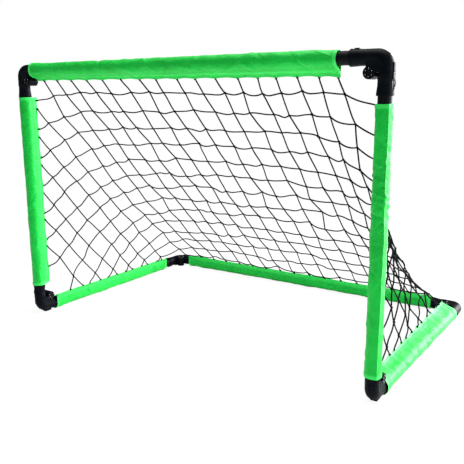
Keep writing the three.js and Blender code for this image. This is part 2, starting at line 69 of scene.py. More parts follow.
class Slot(str, Enum):
    """The record's material slots."""

    TUBE = "tube_plastic"
    ELBOW = "elbow_plastic"
    PIN = "pin_plastic"
    FABRIC = "sleeve_fabric"
    NET = "net_cord"


def axes(x: Vector, y: Vector, z: Vector) -> Matrix:
    """Return the turn that takes X, Y and Z to three other directions."""
    return Matrix((x, y, z)).transposed().to_4x4()


def facing(way: Vector) -> Matrix:
    """Return the turn that takes Z to a direction."""
    return Z.rotation_difference(way).to_matrix().to_4x4()


def along_x(way: Vector) -> Matrix:
    """Return a turn that takes X to a direction and keeps Z up as far as it can."""
    return way.normalized().to_track_quat("X", "Z").to_matrix().to_4x4()


def linked(name: str, data: ID) -> Object:
    """Make an object and link it to the scene.

    Args:
        name: The object's name.
        data: Its mesh, curve, lamp or camera.

    Returns:
        The object.
    """
    thing = bpy.data.objects.new(name, data)
    bpy.context.collection.objects.link(thing)
    return thing


def to_mesh(name: str, bm: BMesh) -> Mesh:
    """Turn a bmesh into a mesh and free it.

    Args:
        name: The mesh's name.
        bm: What it is made from.

    Returns:
        The mesh.
    """
    mesh = bpy.data.meshes.new(name)
    bm.to_mesh(mesh)
    bm.free()
    return mesh


# Finishes


class Nodes:
    """A node tree that is filled node by node."""

    def __init__(self, tree: NodeTree) -> None:
        """Start with the tree emptied."""
        self.tree = tree
        tree.nodes.clear()

    def put(self, node: Node, values: dict) -> Node:
        """Set or link a node's inputs.

        Args:
            node: The node whose inputs are set.
            values: Socket name or number, to a plain value or another node's output.

        Returns:
            The same node.
        """
        for key, value in values.items():
            if isinstance(value, NodeSocket):
                self.tree.links.new(value, node.inputs[key])
            else:
                node.inputs[key].default_value = value
        return node

    def add(self, kind: str, values: dict | None = None, **settings: object) -> Node:
        """Add a node.

        Args:
            kind: The node's type, without its ShaderNode prefix.
            values: Its inputs, as for put.
            settings: Its own properties.

        Returns:
            The new node.
        """
        node = self.tree.nodes.new(f"ShaderNode{kind}")
        for key, value in settings.items():
            setattr(node, key, value)
        return self.put(node, values or {})


class Palette(Nodes):
    """The node tree of one material, with its principled shader."""

    def __init__(self, name: str) -> None:
        """Start a new material of that name."""
        self.material = bpy.data.materials.new(name)
        self.material.use_nodes = True
        super().__init__(self.material.node_tree)
        self.shader = self.add("BsdfPrincipled")
        self.out = self.add("OutputMaterial", {"Surface": self.shader.outputs[0]})
        self.place = self.add("TexCoord").outputs["Object"]

    def noise(self, place: NodeSocket, scale: float, detail: float) -> NodeSocket:
        """Add fractal noise and return its value socket."""
        made = self.add("TexNoise", {"Vector": place, "Scale": scale, "Detail": detail})
        return made.outputs[0]

    def ramp(self, value: NodeSocket, low: float, high: float, first: tuple,
             last: tuple) -> NodeSocket:
        """Map a value to a colour.

        Args:
            value: The socket with the value.
            low: The value that gives the first colour.
            high: The value that gives the last one.
            first: The first colour.
            last: The last colour.

        Returns:
            The colour's socket.
        """
        made = self.add("ValToRGB", {"Fac": value})
        ends = made.color_ramp.elements
        ends[0].position, ends[0].color = low, (*first, 1)
        ends[1].position, ends[1].color = high, (*last, 1)
        return made.outputs["Color"]

    def spread(self, value: NodeSocket, low: float, high: float) -> NodeSocket:
        """Map a value from 0 to 1 onto another range and return its socket."""
        return self.add("MapRange", {"Value": value, "To Min": low, "To Max": high}).outputs[0]

    def bump(self, height: NodeSocket, depth: float, strength: float,
             under: NodeSocket | None = None) -> NodeSocket:
        """Turn a height into a bump.

        Args:
            height: The socket with the height.
            depth: How deep it is, in metres.
            strength: How strongly it shows.
            under: The normal of a bump beneath it.

        Returns:
            The normal's socket.
        """
        made = self.add("Bump", {"Height": height, "Distance": depth, "Strength": strength})
        if under is not None:
            self.put(made, {"Normal": under})
        return made.outputs[0]


@dataclass(frozen=True)
class Finish:
    """A procedural finish. Each kind gives its own values."""

    name: str

    def values(self, p: Palette) -> dict:
        """Return the shader's inputs by name, and add the nodes that they need to a palette."""
        raise NotImplementedError

    def make(self) -> Material:
        """Build the material and return it."""
        p = Palette(self.name)
        p.put(p.shader, self.values(p))
        return p.material


@dataclass(frozen=True)
class MouldedPlastic(Finish):
    """Black plastic from a spark-eroded mould, rubbed a little shinier in places."""

    colour: tuple = (0.0016, 0.0026, 0.0042)
    worn: tuple = (0.0034, 0.005, 0.0076)
    grain: float = 1500.0
    grain_depth: float = 0.00006
    rough: tuple = (0.36, 0.52)

    def values(self, p: Palette) -> dict:
        """Work out the shader's inputs.

        Args:
            p: The palette that their nodes go into.

        Returns:
            The inputs by name.
        """
        cloud = p.noise(p.place, 38.0, 4.0)
        grain = p.noise(p.place, self.grain, 2.0)
        rub = {"Vector": p.place, "Scale": 160.0, "Detail": 6.0, "Roughness": 0.75}
        scuffs = p.add("TexNoise", rub).outputs[0]
        return {
            "Base Color": p.ramp(cloud, 0.4, 0.75, self.colour, self.worn),
            "Roughness": p.spread(scuffs, *self.rough),
            "Normal": p.bump(grain, self.grain_depth, 0.5, p.bump(cloud, 0.0003, 0.15)),
            "Specular IOR Level": 0.04,
        }


@dataclass(frozen=True)
class WovenFabric(Finish):
    """Bright plain-woven polyester, deeper in colour where it lies single and paler where it lies
    double, partly from the double cloth and partly as a painted highlight.

    Its threads follow the cloth's own UV map, in metres. The attribute layers says how far the cloth
    lies double, and with it how much of the paler colour, with its painted highlight, is mixed in.
    """

    colour: tuple = (0.0008, 0.37, 0.026)
    light: tuple = (0.003, 0.5, 0.045)
    # Paler green where the cloth lies double, at the hem and the end bands: partly the double cloth's
    # own colour, partly a painted highlight.
    doubled_and_highlit: tuple = (0.03, 0.66, 0.09)
    thread: float = 0.0011

    def values(self, p: Palette) -> dict:
        """Work out the shader's inputs.

        Args:
            p: The palette that their nodes go into.

        Returns:
            The inputs by name.
        """
        cloth = p.add("UVMap", uv_map="cloth").outputs[0]
        wave = {"Vector": cloth, "Scale": 1.0 / self.thread / 20.0, "Distortion": 0.35,
                "Detail": 1.0}
        weave = [p.add("TexWave", wave, bands_direction=axis, wave_profile="SIN").outputs["Fac"]
                 for axis in ("X", "Y")]
        threads = p.add("Math", {0: weave[0], 1: weave[1]}, operation="MULTIPLY").outputs[0]
        slubs = p.noise(cloth, 420.0, 3.0)
        clouds = p.noise(p.place, 16.0, 4.0)
        creases = p.noise(p.place, 38.0, 3.0)
        tone = p.add("Math", {0: clouds, 1: slubs}, operation="ADD").outputs[0]
        tone = p.add("Math", {0: tone, 1: 0.5}, operation="MULTIPLY").outputs[0]
        single = p.ramp(tone, 0.38, 0.62, self.colour, self.light)
        # Mix in the paler colour, part painted highlight, where the layers attribute marks double
        # cloth.
        layers = p.add("Attribute", attribute_name="layers").outputs["Fac"]
        colours = {"Factor": layers, 6: single, 7: (*self.doubled_and_highlit, 1.0)}
        return {
            "Base Color": p.add("Mix", colours, data_type="RGBA").outputs[2],
            "Roughness": p.spread(slubs, 0.5, 0.64),
            "Normal": p.bump(threads, 0.00018, 0.5, p.bump(creases, 0.0045, 0.9)),
            "Specular IOR Level": 1.0,
            "Specular Tint": (0.15, 1.0, 0.3, 1.0),
            "Sheen Weight": 0.03,
            "Sheen Roughness": 0.2,
            "Sheen Tint": (0.8, 1.0, 0.86, 1.0),
        }


@dataclass(frozen=True)
class GrainedFinish(Finish):
    """A finish with one noise, its grain, for colour and bump, and another for roughness.

    A noise is given by its scale and its detail, and the bump by its depth and its strength.
    """

    colour: tuple
    light: tuple
    tones: tuple
    grain: tuple
    bump: tuple
    rub: tuple
    rough: tuple
    shine: float = 0.5
    metal: float = 0.0
    stretch: tuple = (1.0, 1.0, 1.0)

    def values(self, p: Palette) -> dict:
        """Work out the shader's inputs.

        Args:
            p: The palette that their nodes go into.

        Returns:
            The inputs by name.
        """
        place = p.add("Mapping", {"Vector": p.place, "Scale": self.stretch}).outputs[0]
        grain = p.noise(place, *self.grain)
        return {
            "Base Color": p.ramp(grain, *self.tones, self.colour, self.light),
            "Metallic": self.metal,
            "Roughness": p.spread(p.noise(p.place, *self.rub), *self.rough),
            "Normal": p.bump(grain, *self.bump),
            "Specular IOR Level": self.shine,
        }


@dataclass(frozen=True)
class DrawnTube(GrainedFinish):
    """Extruded black tube, with fine lines along it where its grain is stretched."""

    colour: tuple = (0.004, 0.0043, 0.0055)
    light: tuple = (0.010, 0.0105, 0.0125)
    tones: tuple = (0.45, 0.8)
    grain: tuple = (9.0, 5.0)
    bump: tuple = (0.0001, 0.35)
    rub: tuple = (220.0, 6.0)
    rough: tuple = (0.32, 0.55)
    shine: float = 0.05


@dataclass(frozen=True)
class SewingThread(GrainedFinish):
    """Shiny polyester thread, a little paler than the cloth."""

    colour: tuple = (0.03, 0.5, 0.09)
    light: tuple = (0.09, 0.66, 0.18)
    tones: tuple = (0.35, 0.7)
    grain: tuple = (2600.0, 2.0)
    bump: tuple = (0.0001, 0.4)
    rub: tuple = (2600.0, 2.0)
    rough: tuple = (0.45, 0.45)


@dataclass(frozen=True)
class NetCord(GrainedFinish):
    """Black twisted cord, slightly fuzzy."""

    colour: tuple = (0.0015, 0.0017, 0.003)
    light: tuple = (0.006, 0.0065, 0.0105)
    tones: tuple = (0.35, 0.75)
    grain: tuple = (900.0, 2.0)
    bump: tuple = (0.0004, 0.8)
    rub: tuple = (60.0, 5.0)
    rough: tuple = (0.6, 0.9)
    shine: float = 0.03


@dataclass(frozen=True)
class BrightRivet(GrainedFinish):
    """Nickel-plated steel of the small studs in a hinge."""

    colour: tuple = (0.385, 0.392, 0.406)
    light: tuple = (0.55, 0.56, 0.58)
    tones: tuple = (0.3, 0.8)
    grain: tuple = (1400.0, 4.0)
    bump: tuple = (0.00004, 0.4)
    rub: tuple = (1400.0, 4.0)
    rough: tuple = (0.15, 0.35)
    metal: float = 1.0


# Shapes


class Shapes:
    """The mesh steps that the sub-assemblies share."""

    @staticmethod
    def lathe(profile: list[tuple[float, float]], steps: int, closed: bool = False) -> BMesh:
        """Turn a profile round Z.

        Args:
            profile: Points of (radius, place along Z).
            steps: How many flats the turned body has.
            closed: Whether the last point joins the first.

        Returns:
            The turned body.
        """
        bm = bmesh.new()
        verts = [bm.verts.new((radius, 0, along)) for radius, along in profile]
        pairs = list(zip(verts, verts[1:]))
        if closed:
            pairs.append((verts[-1], verts[0]))
        edges = [bm.edges.new(pair) for pair in pairs]
        bmesh.ops.spin(bm, geom=verts + edges, cent=(0, 0, 0), axis=(0, 0, 1), angle=math.tau,
                       steps=steps, use_merge=True)
        bmesh.ops.remove_doubles(bm, verts=bm.verts, dist=1e-5)
        bmesh.ops.recalc_face_normals(bm, faces=bm.faces)
        return bm

    @staticmethod
    def block(low: tuple, high: tuple, edge: float) -> BMesh:
        """Make a box between two corners.

        Args:
            low: Its lowest corner.
            high: Its highest corner.
            edge: How far its edges are rounded.

        Returns:
            The rounded box.
        """
        bm = bmesh.new()
        size = Vector(high) - Vector(low)
        middle = (Vector(high) + Vector(low)) / 2
        place = Matrix.Translation(middle) @ Matrix.Diagonal((*size, 1))
        bmesh.ops.create_cube(bm, size=1.0, matrix=place)
        if edge:
            Shapes.eased(bm, bm.edges[:], edge, 3)
        return bm

    @staticmethod
    def eased(bm: BMesh, edges: list[BMEdge], size: float, segments: int) -> None:
        """Round some edges.

        Args:
            bm: The mesh.
            edges: Its edges.
            size: How far they are rounded.
            segments: How many flats each gets.
        """
        bmesh.ops.bevel(bm, geom=edges, offset=size, offset_type="OFFSET", affect="EDGES",
                        segments=segments, profile=0.5, material=-1, clamp_overlap=True)

    @staticmethod
    def strip(path: list[tuple[float, float]], thick: float, half: float, edge: float) -> BMesh:
        """Make a bent flat strip.

        Args:
            path: Points along the middle of its side, in X and Y.
            thick: How thick it is.
            half: Half its width, along Z.
            edge: How far its edges are rounded.

        Returns:
            The strip.
        """
        bm = bmesh.new()
        points = [Vector((*p, 0)) for p in path]
        sides: tuple[list, list] = ([], [])
        for n, point in enumerate(points):
            run = (points[min(n + 1, len(points) - 1)] - points[max(n - 1, 0)]).normalized()
            across = run.cross(Z) * (thick / 2)
            sides[0].append(bm.verts.new(point + across - Z * half))
            sides[1].append(bm.verts.new(point - across - Z * half))
        face = bm.faces.new(sides[0] + sides[1][::-1])
        made = bmesh.ops.extrude_face_region(bm, geom=[face])
        moved = [v for v in made["geom"] if isinstance(v, BMVert)]
        bmesh.ops.translate(bm, verts=moved, vec=Z * half * 2)
        bmesh.ops.recalc_face_normals(bm, faces=bm.faces)
        Shapes.eased(bm, [e for e in bm.edges if e.calc_face_angle(0) > 1.0], edge, 2)
        return bm

    @staticmethod
    def lumps(bm: BMesh, matrices: list[Matrix], material: int = 0) -> None:
        """Add a small rounded lump at each matrix, all from one icosphere.

        Args:
            bm: The mesh that they are added to.
            matrices: Where each lump is, how it is turned and how big it is.
            material: Their material's number.
        """
        one = bmesh.new()
        bmesh.ops.create_icosphere(one, subdivisions=1, radius=1.0)
        points = np.array([(*v.co, 1.0) for v in one.verts])
        faces = np.array([[v.index for v in f.verts] for f in one.faces])
        one.free()
        places = np.concatenate([(points @ np.array(m).T)[:, :3] for m in matrices])
        all_faces = np.concatenate([faces + len(points) * n for n in range(len(matrices))])
        mesh = bpy.data.meshes.new("lumps")
        mesh.from_pydata(places.tolist(), [], all_faces.tolist())
        mesh.polygons.foreach_set("material_index", [material] * len(all_faces))
        bm.from_mesh(mesh)
        bpy.data.meshes.remove(mesh)

    @staticmethod
    def moved(bm: BMesh, matrix: Matrix) -> BMesh:
        """Transform a whole mesh and keep it facing outwards.

        Args:
            bm: The mesh.
            matrix: The transform.

        Returns:
            The same mesh.
        """
        bmesh.ops.transform(bm, matrix=matrix, verts=bm.verts)
        if matrix.determinant() < 0:
            bmesh.ops.reverse_faces(bm, faces=bm.faces)
        return bm

    @staticmethod
    def carved(base: BMesh, steps: list[tuple[str, BMesh]]) -> BMesh:
        """Join bodies to a base, or cut them from it.

        Args:
            base: The body to start from.
            steps: Pairs of UNION or DIFFERENCE, and the other body.

        Returns:
            The result as one mesh.
        """
        made = []
        for number, bm in enumerate([base, *(other for _, other in steps)]):
            name = f"carving_{number}"
            made.append(linked(name, to_mesh(name, bm)))
        for (how, _), other in zip(steps, made[1:]):
            modifier = made[0].modifiers.new(how, "BOOLEAN")
            modifier.operation, modifier.solver, modifier.object = how, "EXACT", other
        graph = bpy.context.evaluated_depsgraph_get()
        result = bmesh.new()
        result.from_mesh(made[0].evaluated_get(graph).to_mesh())
        for thing in made:
            mesh = thing.data
            bpy.data.objects.remove(thing)
            bpy.data.meshes.remove(mesh)
        bmesh.ops.remove_doubles(result, verts=result.verts, dist=0.002)
        return result

    @staticmethod
    def finish(name: str, bm: BMesh, materials: list, body: Body, slot: Slot, replaces: tuple,
               crease: float = 38.0) -> Object:
        """Make a piece from a mesh and let it ride.

        Args:
            name: The piece's name.
            bm: Its mesh, already in place, in metres. It is freed.
            materials: What its faces' material numbers stand for.
            body: The body that it moves with.
            slot: The record's slot for its finish. It is not used.
            replaces: The CAD nodes that it stands for.
            crease: Edges sharper than this many degrees stay sharp.

        Returns:
            The piece.
        """
        limit = math.radians(crease)
        for face in bm.faces:
            face.smooth = True
        for edge in bm.edges:
            edge.smooth = edge.calc_face_angle(0.0) < limit
        mesh = to_mesh(name, bm)
        for material in materials:
            mesh.materials.append(material)
        piece = linked(name, mesh)
        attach(piece, body.value)
        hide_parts(*replaces)
        LOG.info("%s: %d faces", name, len(mesh.polygons))
        return piece


class Sweep:
    """A round tube drawn out ring by ring."""

    def __init__(self, centre: tuple, way: Vector, radius: float, sides: int = 44) -> None:
        """Start with a capped ring.

        Args:
            centre: The ring's centre.
            way: What its plane faces.
            radius: Its radius.
            sides: How many flats the tube has.
        """
        self.bm = bmesh.new()
        self.centre = Vector(centre)
        self.radius = radius
        bmesh.ops.create_circle(self.bm, cap_ends=True, segments=sides, radius=radius,
                                matrix=Matrix.Translation(self.centre) @ facing(way))
        self.edges = self.bm.edges[:]

    def draw(self, matrix: Matrix) -> None:
        """Extrude the last ring and transform the new one.

        Args:
            matrix: The transform.
        """
        made = bmesh.ops.extrude_edge_only(self.bm, edges=self.edges)["geom"]
        verts = {v for v in made if isinstance(v, BMVert)}
        bmesh.ops.transform(self.bm, matrix=matrix, verts=list(verts))
        self.edges = [e for e in made if isinstance(e, BMEdge) and set(e.verts) <= verts]

    def to(self, centre: tuple, radius: float) -> None:
        """Draw the tube straight on.

        Args:
            centre: The next ring's centre.
            radius: The next ring's radius.
        """
        centre = Vector(centre)
        scale = Matrix.Scale(radius / self.radius, 4)
        self.draw(Matrix.Translation(centre) @ scale @ Matrix.Translation(-self.centre))
        self.centre, self.radius = centre, radius

    def bend(self, pivot: tuple, degrees: float, steps: int) -> None:
        """Draw the tube round a pivot, about Z.

        Args:
            pivot: The pivot.
            degrees: How far it is drawn.
            steps: In how many rings.
        """
        pivot = Vector(pivot)
        turn = Matrix.Rotation(math.radians(degrees / steps), 4, "Z")
        step = Matrix.Translation(pivot) @ turn @ Matrix.Translation(-pivot)
        for _ in range(steps):
            self.draw(step)
            self.centre = step @ self.centre

    def close(self) -> BMesh:
        """Cap the last ring and return the mesh, facing outwards."""
        bmesh.ops.edgeloop_fill(self.bm, edges=self.edges)
        bmesh.ops.recalc_face_normals(self.bm, faces=self.bm.faces)
        return self.bm


# The goal


@dataclass(frozen=True)
class GoalFrame:
    """Distances between the axes of opposite bars, and the floor bars' height, in metres."""

    width: float = 0.872
    height: float = 0.572
    depth: float = 0.556
    floor_axis: float = 0.0156
    hinge: float = 0.024

    def corner(self, side: int, rear: bool = False, top: bool = False) -> Vector:
        """Return the point where the axes of two bars meet.

        Args:
            side: -1 for the left and 1 for the right.
            rear: Whether it is at the back.
            top: Whether it is at the top.

        Returns:
            The point.
        """
        y = self.depth / 2 if rear else -self.depth / 2
        z = self.floor_axis + (self.height if top else 0.0)
        return Vector((side * self.width / 2, y, z))


class Floor(Enum):
    """Where the floor is, seen from an elbow's own frame."""

    NONE = None
    BELOW = (0, -1, 0)
    UNDER = (0, 0, -1)
    OVER = (0, 0, 1)


@dataclass
class FoldingElbow:
    """A two-piece hinged elbow, in millimetres, with the corner of the axes at its origin.

    The bend half's socket points along X, the straight half's along Y, and the pin runs
    along Z.
    """

    bend_radius: float = 15.0
    body: float = 13.1
    socket: float = 13.3
    neck: float = 12.8
    rim: float = 14.3
    bore: float = 11.8
    reach: float = 60.0
    cuff: float = 38.0
    flare: float = 43.0
    flare_end: float = 56.0
    lip: float = 0.5
    stop: float = 28.0
    seam: float = 24.0
    gap: float = 0.3
    hinge: float = 24.0
    knuckle: float = 10.4
    barrel_half: float = 12.4
    centre_half: float = 4.6
    rib_half: float = 4.5
    rib_out: float = 14.2
    foot_drop: float = 15.6
    spigot: float = 8.0
    spigot_bore: float = 5.6
    spigot_height: float = 3.6
    parts: dict = field(default_factory=dict)

    def on_pin(self, bm: BMesh) -> BMesh:
        """Move a body from the Z axis to the pin's axis and return it."""
        return Shapes.moved(bm, Matrix.Translation((self.hinge, self.hinge, 0)))

    def barrel(self, radius: float, half: float, edge: float = 0.0) -> BMesh:
        """Make a cylinder on the pin's axis, with its rims eased.

        Args:
            radius: Its radius.
            half: Half its height.
            edge: How far its rims are eased.

        Returns:
            The cylinder's mesh.
        """
        profile = [(0, -half), (radius - edge, -half), (radius, -half + edge)]
        profile += [(radius, half - edge), (radius - edge, half), (0, half)]
        unique = [p for n, p in enumerate(profile) if n == 0 or p != profile[n - 1]]
        return self.on_pin(Shapes.lathe(unique, 40))

    def foot(self, floor: Floor) -> BMesh:
        """Make the pad that stands on the floor.

        Args:
            floor: Which way the floor is.

        Returns:
            The pad's mesh.
        """
        down = Vector(floor.value)
        pad = Shapes.block((9, 0, -6.5), (27, self.foot_drop, 6.5), 1.2)
        return Shapes.moved(pad, axes(X, down, X.cross(down)))

    def bend_half(self, floor: Floor) -> BMesh:
        """Build the half with the bend.

        Args:
            floor: Where its foot goes.

        Returns:
            The half's mesh.
        """
        face = self.seam - self.gap / 2
        top = self.seam + self.spigot_height
        r = self.bend_radius
        cuff, socket, rim, bore = self.cuff, self.socket, self.rim, self.bore
        run = Sweep((0, r, 0), Y, self.spigot_bore)
        down = [
            (top, self.spigot_bore), (top, self.spigot - 0.4), (top - 0.4, self.spigot),
            (face, self.spigot), (face, socket - 0.45), (face - 0.45, socket), (r, self.body),
        ]
        for along, radius in down:
            run.to((0, along, 0), radius)
        run.bend((r, r, 0), 90, 12)
        out = [
            (cuff, self.body), (cuff + 1, socket), (self.flare, socket + 0.1),
            (self.flare_end, rim - 0.1), (self.flare_end + 1, rim),
            (self.reach - self.lip, rim), (self.reach, rim - self.lip),
            (self.reach, bore + 0.4), (self.reach - 0.4, bore), (self.stop, bore),
        ]
        for along, radius in out:
            run.to((along, 0, 0), radius)
        edge = self.hinge + 6.0
        nub = Shapes.lathe([(0, -3), (1.5, -3), (1.5, 0.2), (1.1, 0.7), (0, 0.8)], 16)
        corner = r - (r + self.body) * math.sqrt(0.5)
        outwards = facing(Vector((-1, -1, 0)))
        nub = Shapes.moved(nub, Matrix.Translation((corner, corner, 0)) @ outwards)
        barrel, rib = self.barrel_half, self.rib_half
        steps = [
            ("UNION", Shapes.block((5, 1, -barrel), (edge, face, barrel), 0.8)),
            ("UNION", self.barrel(self.knuckle, barrel, 0.7)),
            ("UNION", Shapes.block((-self.rib_out, 8.5, -rib), (-7, face, rib), 1.4)),
            ("UNION", Shapes.block((45, -rim - 0.9, -3.2), (53, -bore - 0.3, 3.2), 0.7)),
            ("UNION", nub),
            ("DIFFERENCE", self.barrel(self.knuckle + self.gap, self.centre_half + self.gap)),
        ]
        if floor is not Floor.NONE:
            steps.append(("UNION", self.foot(floor)))
        return Shapes.carved(run.close(), steps)

    def straight_half(self, covered: bool) -> BMesh:
        """Build the half with the straight socket.

        Args:
            covered: Whether a sleeve lies over its latch and presses it flat.

        Returns:
            The half's mesh.
        """
        face = self.seam + self.gap / 2
        bore, rim = self.bore, self.rim
        hollow = self.spigot + 0.5
        half, rib = self.centre_half, self.rib_half
        profile = [
            (self.socket - 0.45, face), (self.socket, face + 0.45), (self.socket, 34.4),
            (self.neck, 35.4), (self.neck, 44), (rim - 0.1, self.flare_end),
            (rim, self.flare_end + 1), (rim, self.reach - self.lip),
            (rim - self.lip, self.reach), (bore + 0.4, self.reach), (bore, self.reach - 0.4),
            (bore, self.stop), (hollow, self.stop), (hollow, face),
        ]
        stand = Matrix.Rotation(math.radians(-90), 4, "X")
        body = Shapes.moved(Shapes.lathe(profile, 44, closed=True), stand)
        web = Shapes.block((5, face, -half), (self.hinge, self.hinge + 6.0, half), 0.5)
        plug, inner = (
            Shapes.moved(Shapes.lathe([(0, a), (radius, a), (radius, b), (0, b)], 44), stand)
            for radius, a, b in ((bore, self.stop, 70), (hollow, 20, 30))
        )
        window = Shapes.block((-20, 36.2, -4.2), (-bore + 1.0, 51.8, 4.2), 0.0)
        if covered:
            lip = [(-12.8, 33), (-13.2, 36), (-13.4, 40), (-13.3, 45), (-12.8, 50.5)]
        else:
            lip = [(-12.8, 33), (-15.0, 35.6), (-15.7, 38.5), (-15.6, 43), (-14.1, 46.5),
                   (-13.1, 50.8)]
        steps = [
            ("UNION", web),
            ("UNION", self.barrel(self.knuckle, half, 0.3)),
            ("DIFFERENCE", window),
            ("UNION", Shapes.block((-self.rib_out, face, -rib), (-bore - 0.6, 34.8, rib), 0.6)),
            ("DIFFERENCE", plug),
            ("DIFFERENCE", inner),
            ("UNION", Shapes.strip(lip, 1.1, 3.0, 0.3)),
        ]
        return Shapes.carved(body, steps)

    def pin(self) -> BMesh:
        """Build the pin with its two caps and the ring of studs in each.

        Returns:
            The pin's mesh; the studs have material 1.
        """
        end = self.barrel_half
        half = [(3.0, end - 0.5), (7.9, end + 0.05), (8.1, end + 0.35), (7.6, end + 0.85),
                (4.4, end + 1.05), (4.0, end + 0.75), (2.2, end + 0.75), (1.9, end + 1.1),
                (0, end + 1.15)]
        profile = [(0, -half[-1][1]), *((r, -z) for r, z in half[-2::-1]), *half]
        bm = Shapes.lathe(profile, 36)
        for side in (-1, 1):
            for n in range(6):
                angle = math.radians(28 + 60 * n)
                place = Vector((6.2 * math.cos(angle), 6.2 * math.sin(angle), side * (end + 0.95)))
                stud = Matrix.Translation(place) @ Matrix.Diagonal((1, 1, 0.7, 1))
                made = bmesh.ops.create_icosphere(bm, subdivisions=2, radius=0.75, matrix=stud)
                for face in {f for v in made["verts"] for f in v.link_faces}:
                    face.material_index = 1
        return self.on_pin(bm)

    def build(self, key: tuple) -> BMesh:
        """Return a copy of a part's mesh, building it the first time.

        Args:
            key: The part's name and its option.

        Returns:
            A new mesh that the caller frees.
        """
        if key not in self.parts:
            kind, option = key
            makers = {"bend": self.bend_half, "straight": self.straight_half}
            self.parts[key] = makers[kind](option) if kind in makers else self.pin()
        return self.parts[key].copy()

    def place(self, name: str, at: Vector, bend: Vector, straight: Vector,
              bodies: tuple[Body, Body], floor: Floor, covered: bool, looks: dict) -> None:
        """Put one elbow in its corner.

        Args:
            name: The corner's name.
            at: Where the axes meet.
            bend: Which way the bend half's socket points.
            straight: Which way the straight half's socket points.
            bodies: What the bend half and the straight half ride on.
            floor: Where the foot goes.
            covered: Whether a sleeve presses its latch.
            looks: The materials by name.
        """
        turn = axes(bend, straight, bend.cross(straight))
        matrix = Matrix.Translation(at) @ turn @ Matrix.Scale(MM, 4)
        rows = [
            ("bend", floor, bodies[0], Slot.ELBOW, "elbow_bend", [looks["elbow"]]),
            ("straight", covered, bodies[1], Slot.ELBOW, "elbow_socket", [looks["elbow"]]),
            ("pin", None, bodies[1], Slot.PIN, "hinge_pin", [looks["pin"], looks["rivet"]]),
        ]
        for kind, option, body, slot, node, materials in rows:
            bm = Shapes.moved(self.build((kind, option)), matrix)
            nodes = (f"{name}_{node}",)
            Shapes.finish(f"{name}_{kind}_moulding", bm, materials, body, slot, nodes, 32.0)


@dataclass
class Bar:
    """One straight tube and the cloth sleeve round it, in millimetres along the bar.

    The sleeve's ends, its hem's reach and whether it is snug are given at the bar's start and
    its end. Where it has them, fold is the angle of a sharp fold round the bar, and crumple
    the middle and the spread of a crumpled place.
    """

    name: str
    start: Vector
    axis: Vector
    hem_way: Vector
    length: float
    ends: tuple[float, float]
    body: Body
    seed: int
    reach: tuple[float, float] = (29.0, 29.0)
    fold: float | None = None
    snug: tuple[bool, bool] = (False, False)
    crumple: tuple[float, float] | None = None
    tube_radius: float = 11.6
    tube_wall: float = 1.6
    tube_stop: float = 28.3
    ties: list = field(default_factory=list)

    def tube(self) -> BMesh:
        """Turn the tube.

        Returns:
            The tube's mesh, along Z, in millimetres.
        """
        low, high = self.tube_stop, self.length - self.tube_stop
        outer, inner = self.tube_radius, self.tube_radius - self.tube_wall
        profile = [(outer - 0.3, low), (outer, low + 0.3), (outer, high - 0.3), (outer - 0.3, high),
                   (inner + 0.3, high), (inner, high - 0.3), (inner, low + 0.3), (inner + 0.3, low)]
        return Shapes.lathe(profile, 48, closed=True)

    def matrix(self) -> Matrix:
        """Return the bar's own frame: the hem along X and the tube along Z, in millimetres."""
        side = self.axis.cross(self.hem_way)
        turn = axes(self.hem_way, side, self.axis)
        return Matrix.Translation(self.start) @ turn @ Matrix.Scale(MM, 4)

    def place_tube(self, looks: dict) -> None:
        """Put the tube in its place.

        Args:
            looks: The materials by name.
        """
        bm = Shapes.moved(self.tube(), self.matrix())
        which = max(range(3), key=lambda n: abs(self.axis[n]))
        nodes = (f"{self.name}_tube",)
        Shapes.finish(f"{self.name}_pipe", bm, [looks["tubes"][which]], self.body, Slot.TUBE, nodes)

    def reach_at(self, along: float) -> float:
        """Find how far the hem is from the tube's axis, without its puckers.

        Args:
            along: The place along the bar.

        Returns:
            The distance.
        """
        low, high = self.ends[0], self.length - self.ends[1]
        share = min(1.0, max(0.0, (along - low) / (high - low)))
        return self.reach[0] + (self.reach[1] - self.reach[0]) * share

    def hem_point(self, share: float, past: float) -> Vector:
        """Return a point on the hem.

        Args:
            share: 0 at the bar's start of the hem and 1 at its end.
            past: How far outside the hem the point is, in millimetres.

        Returns:
            The point, in metres.
        """
        inset = 6.0
        low, high = self.ends[0] + inset, self.length - self.ends[1] - inset
        return self.hem_at(low + (high - low) * share, past)

    def hem_at(self, along: float, past: float) -> Vector:
        """Return the hem's point at a place along the bar, as hem_point does."""
        return self.matrix() @ Vector((self.reach_at(along) + past, 0, along))


@dataclass(frozen=True)
class Crease:
    """One crease in a sleeve: its middle, its slant and its size, in millimetres.

    Its middle is given along the bar and as a share of the way round it.
    """

    along: float
    around: float
    slant: float
    length: float
    width: float
    depth: float

    def lift(self, places: np.ndarray, around: np.ndarray, girth: float) -> np.ndarray:
        """Work out how far the crease lifts the cloth.

        Args:
            places: Each row's place along the bar.
            around: Each column's share of the way round.
            girth: The way round, in millimetres.

        Returns:
            The lift of every point.
        """
        down = places[:, None] - self.along
        across = (around[None, :] - self.around) * girth
        size = math.hypot(1, self.slant)
        along_it = (down + across * self.slant) / size
        off_it = (across - down * self.slant) / size
        ridge = np.exp(-(off_it / self.width) ** 2) * np.exp(-(along_it / self.length) ** 2)
        return self.depth * ridge


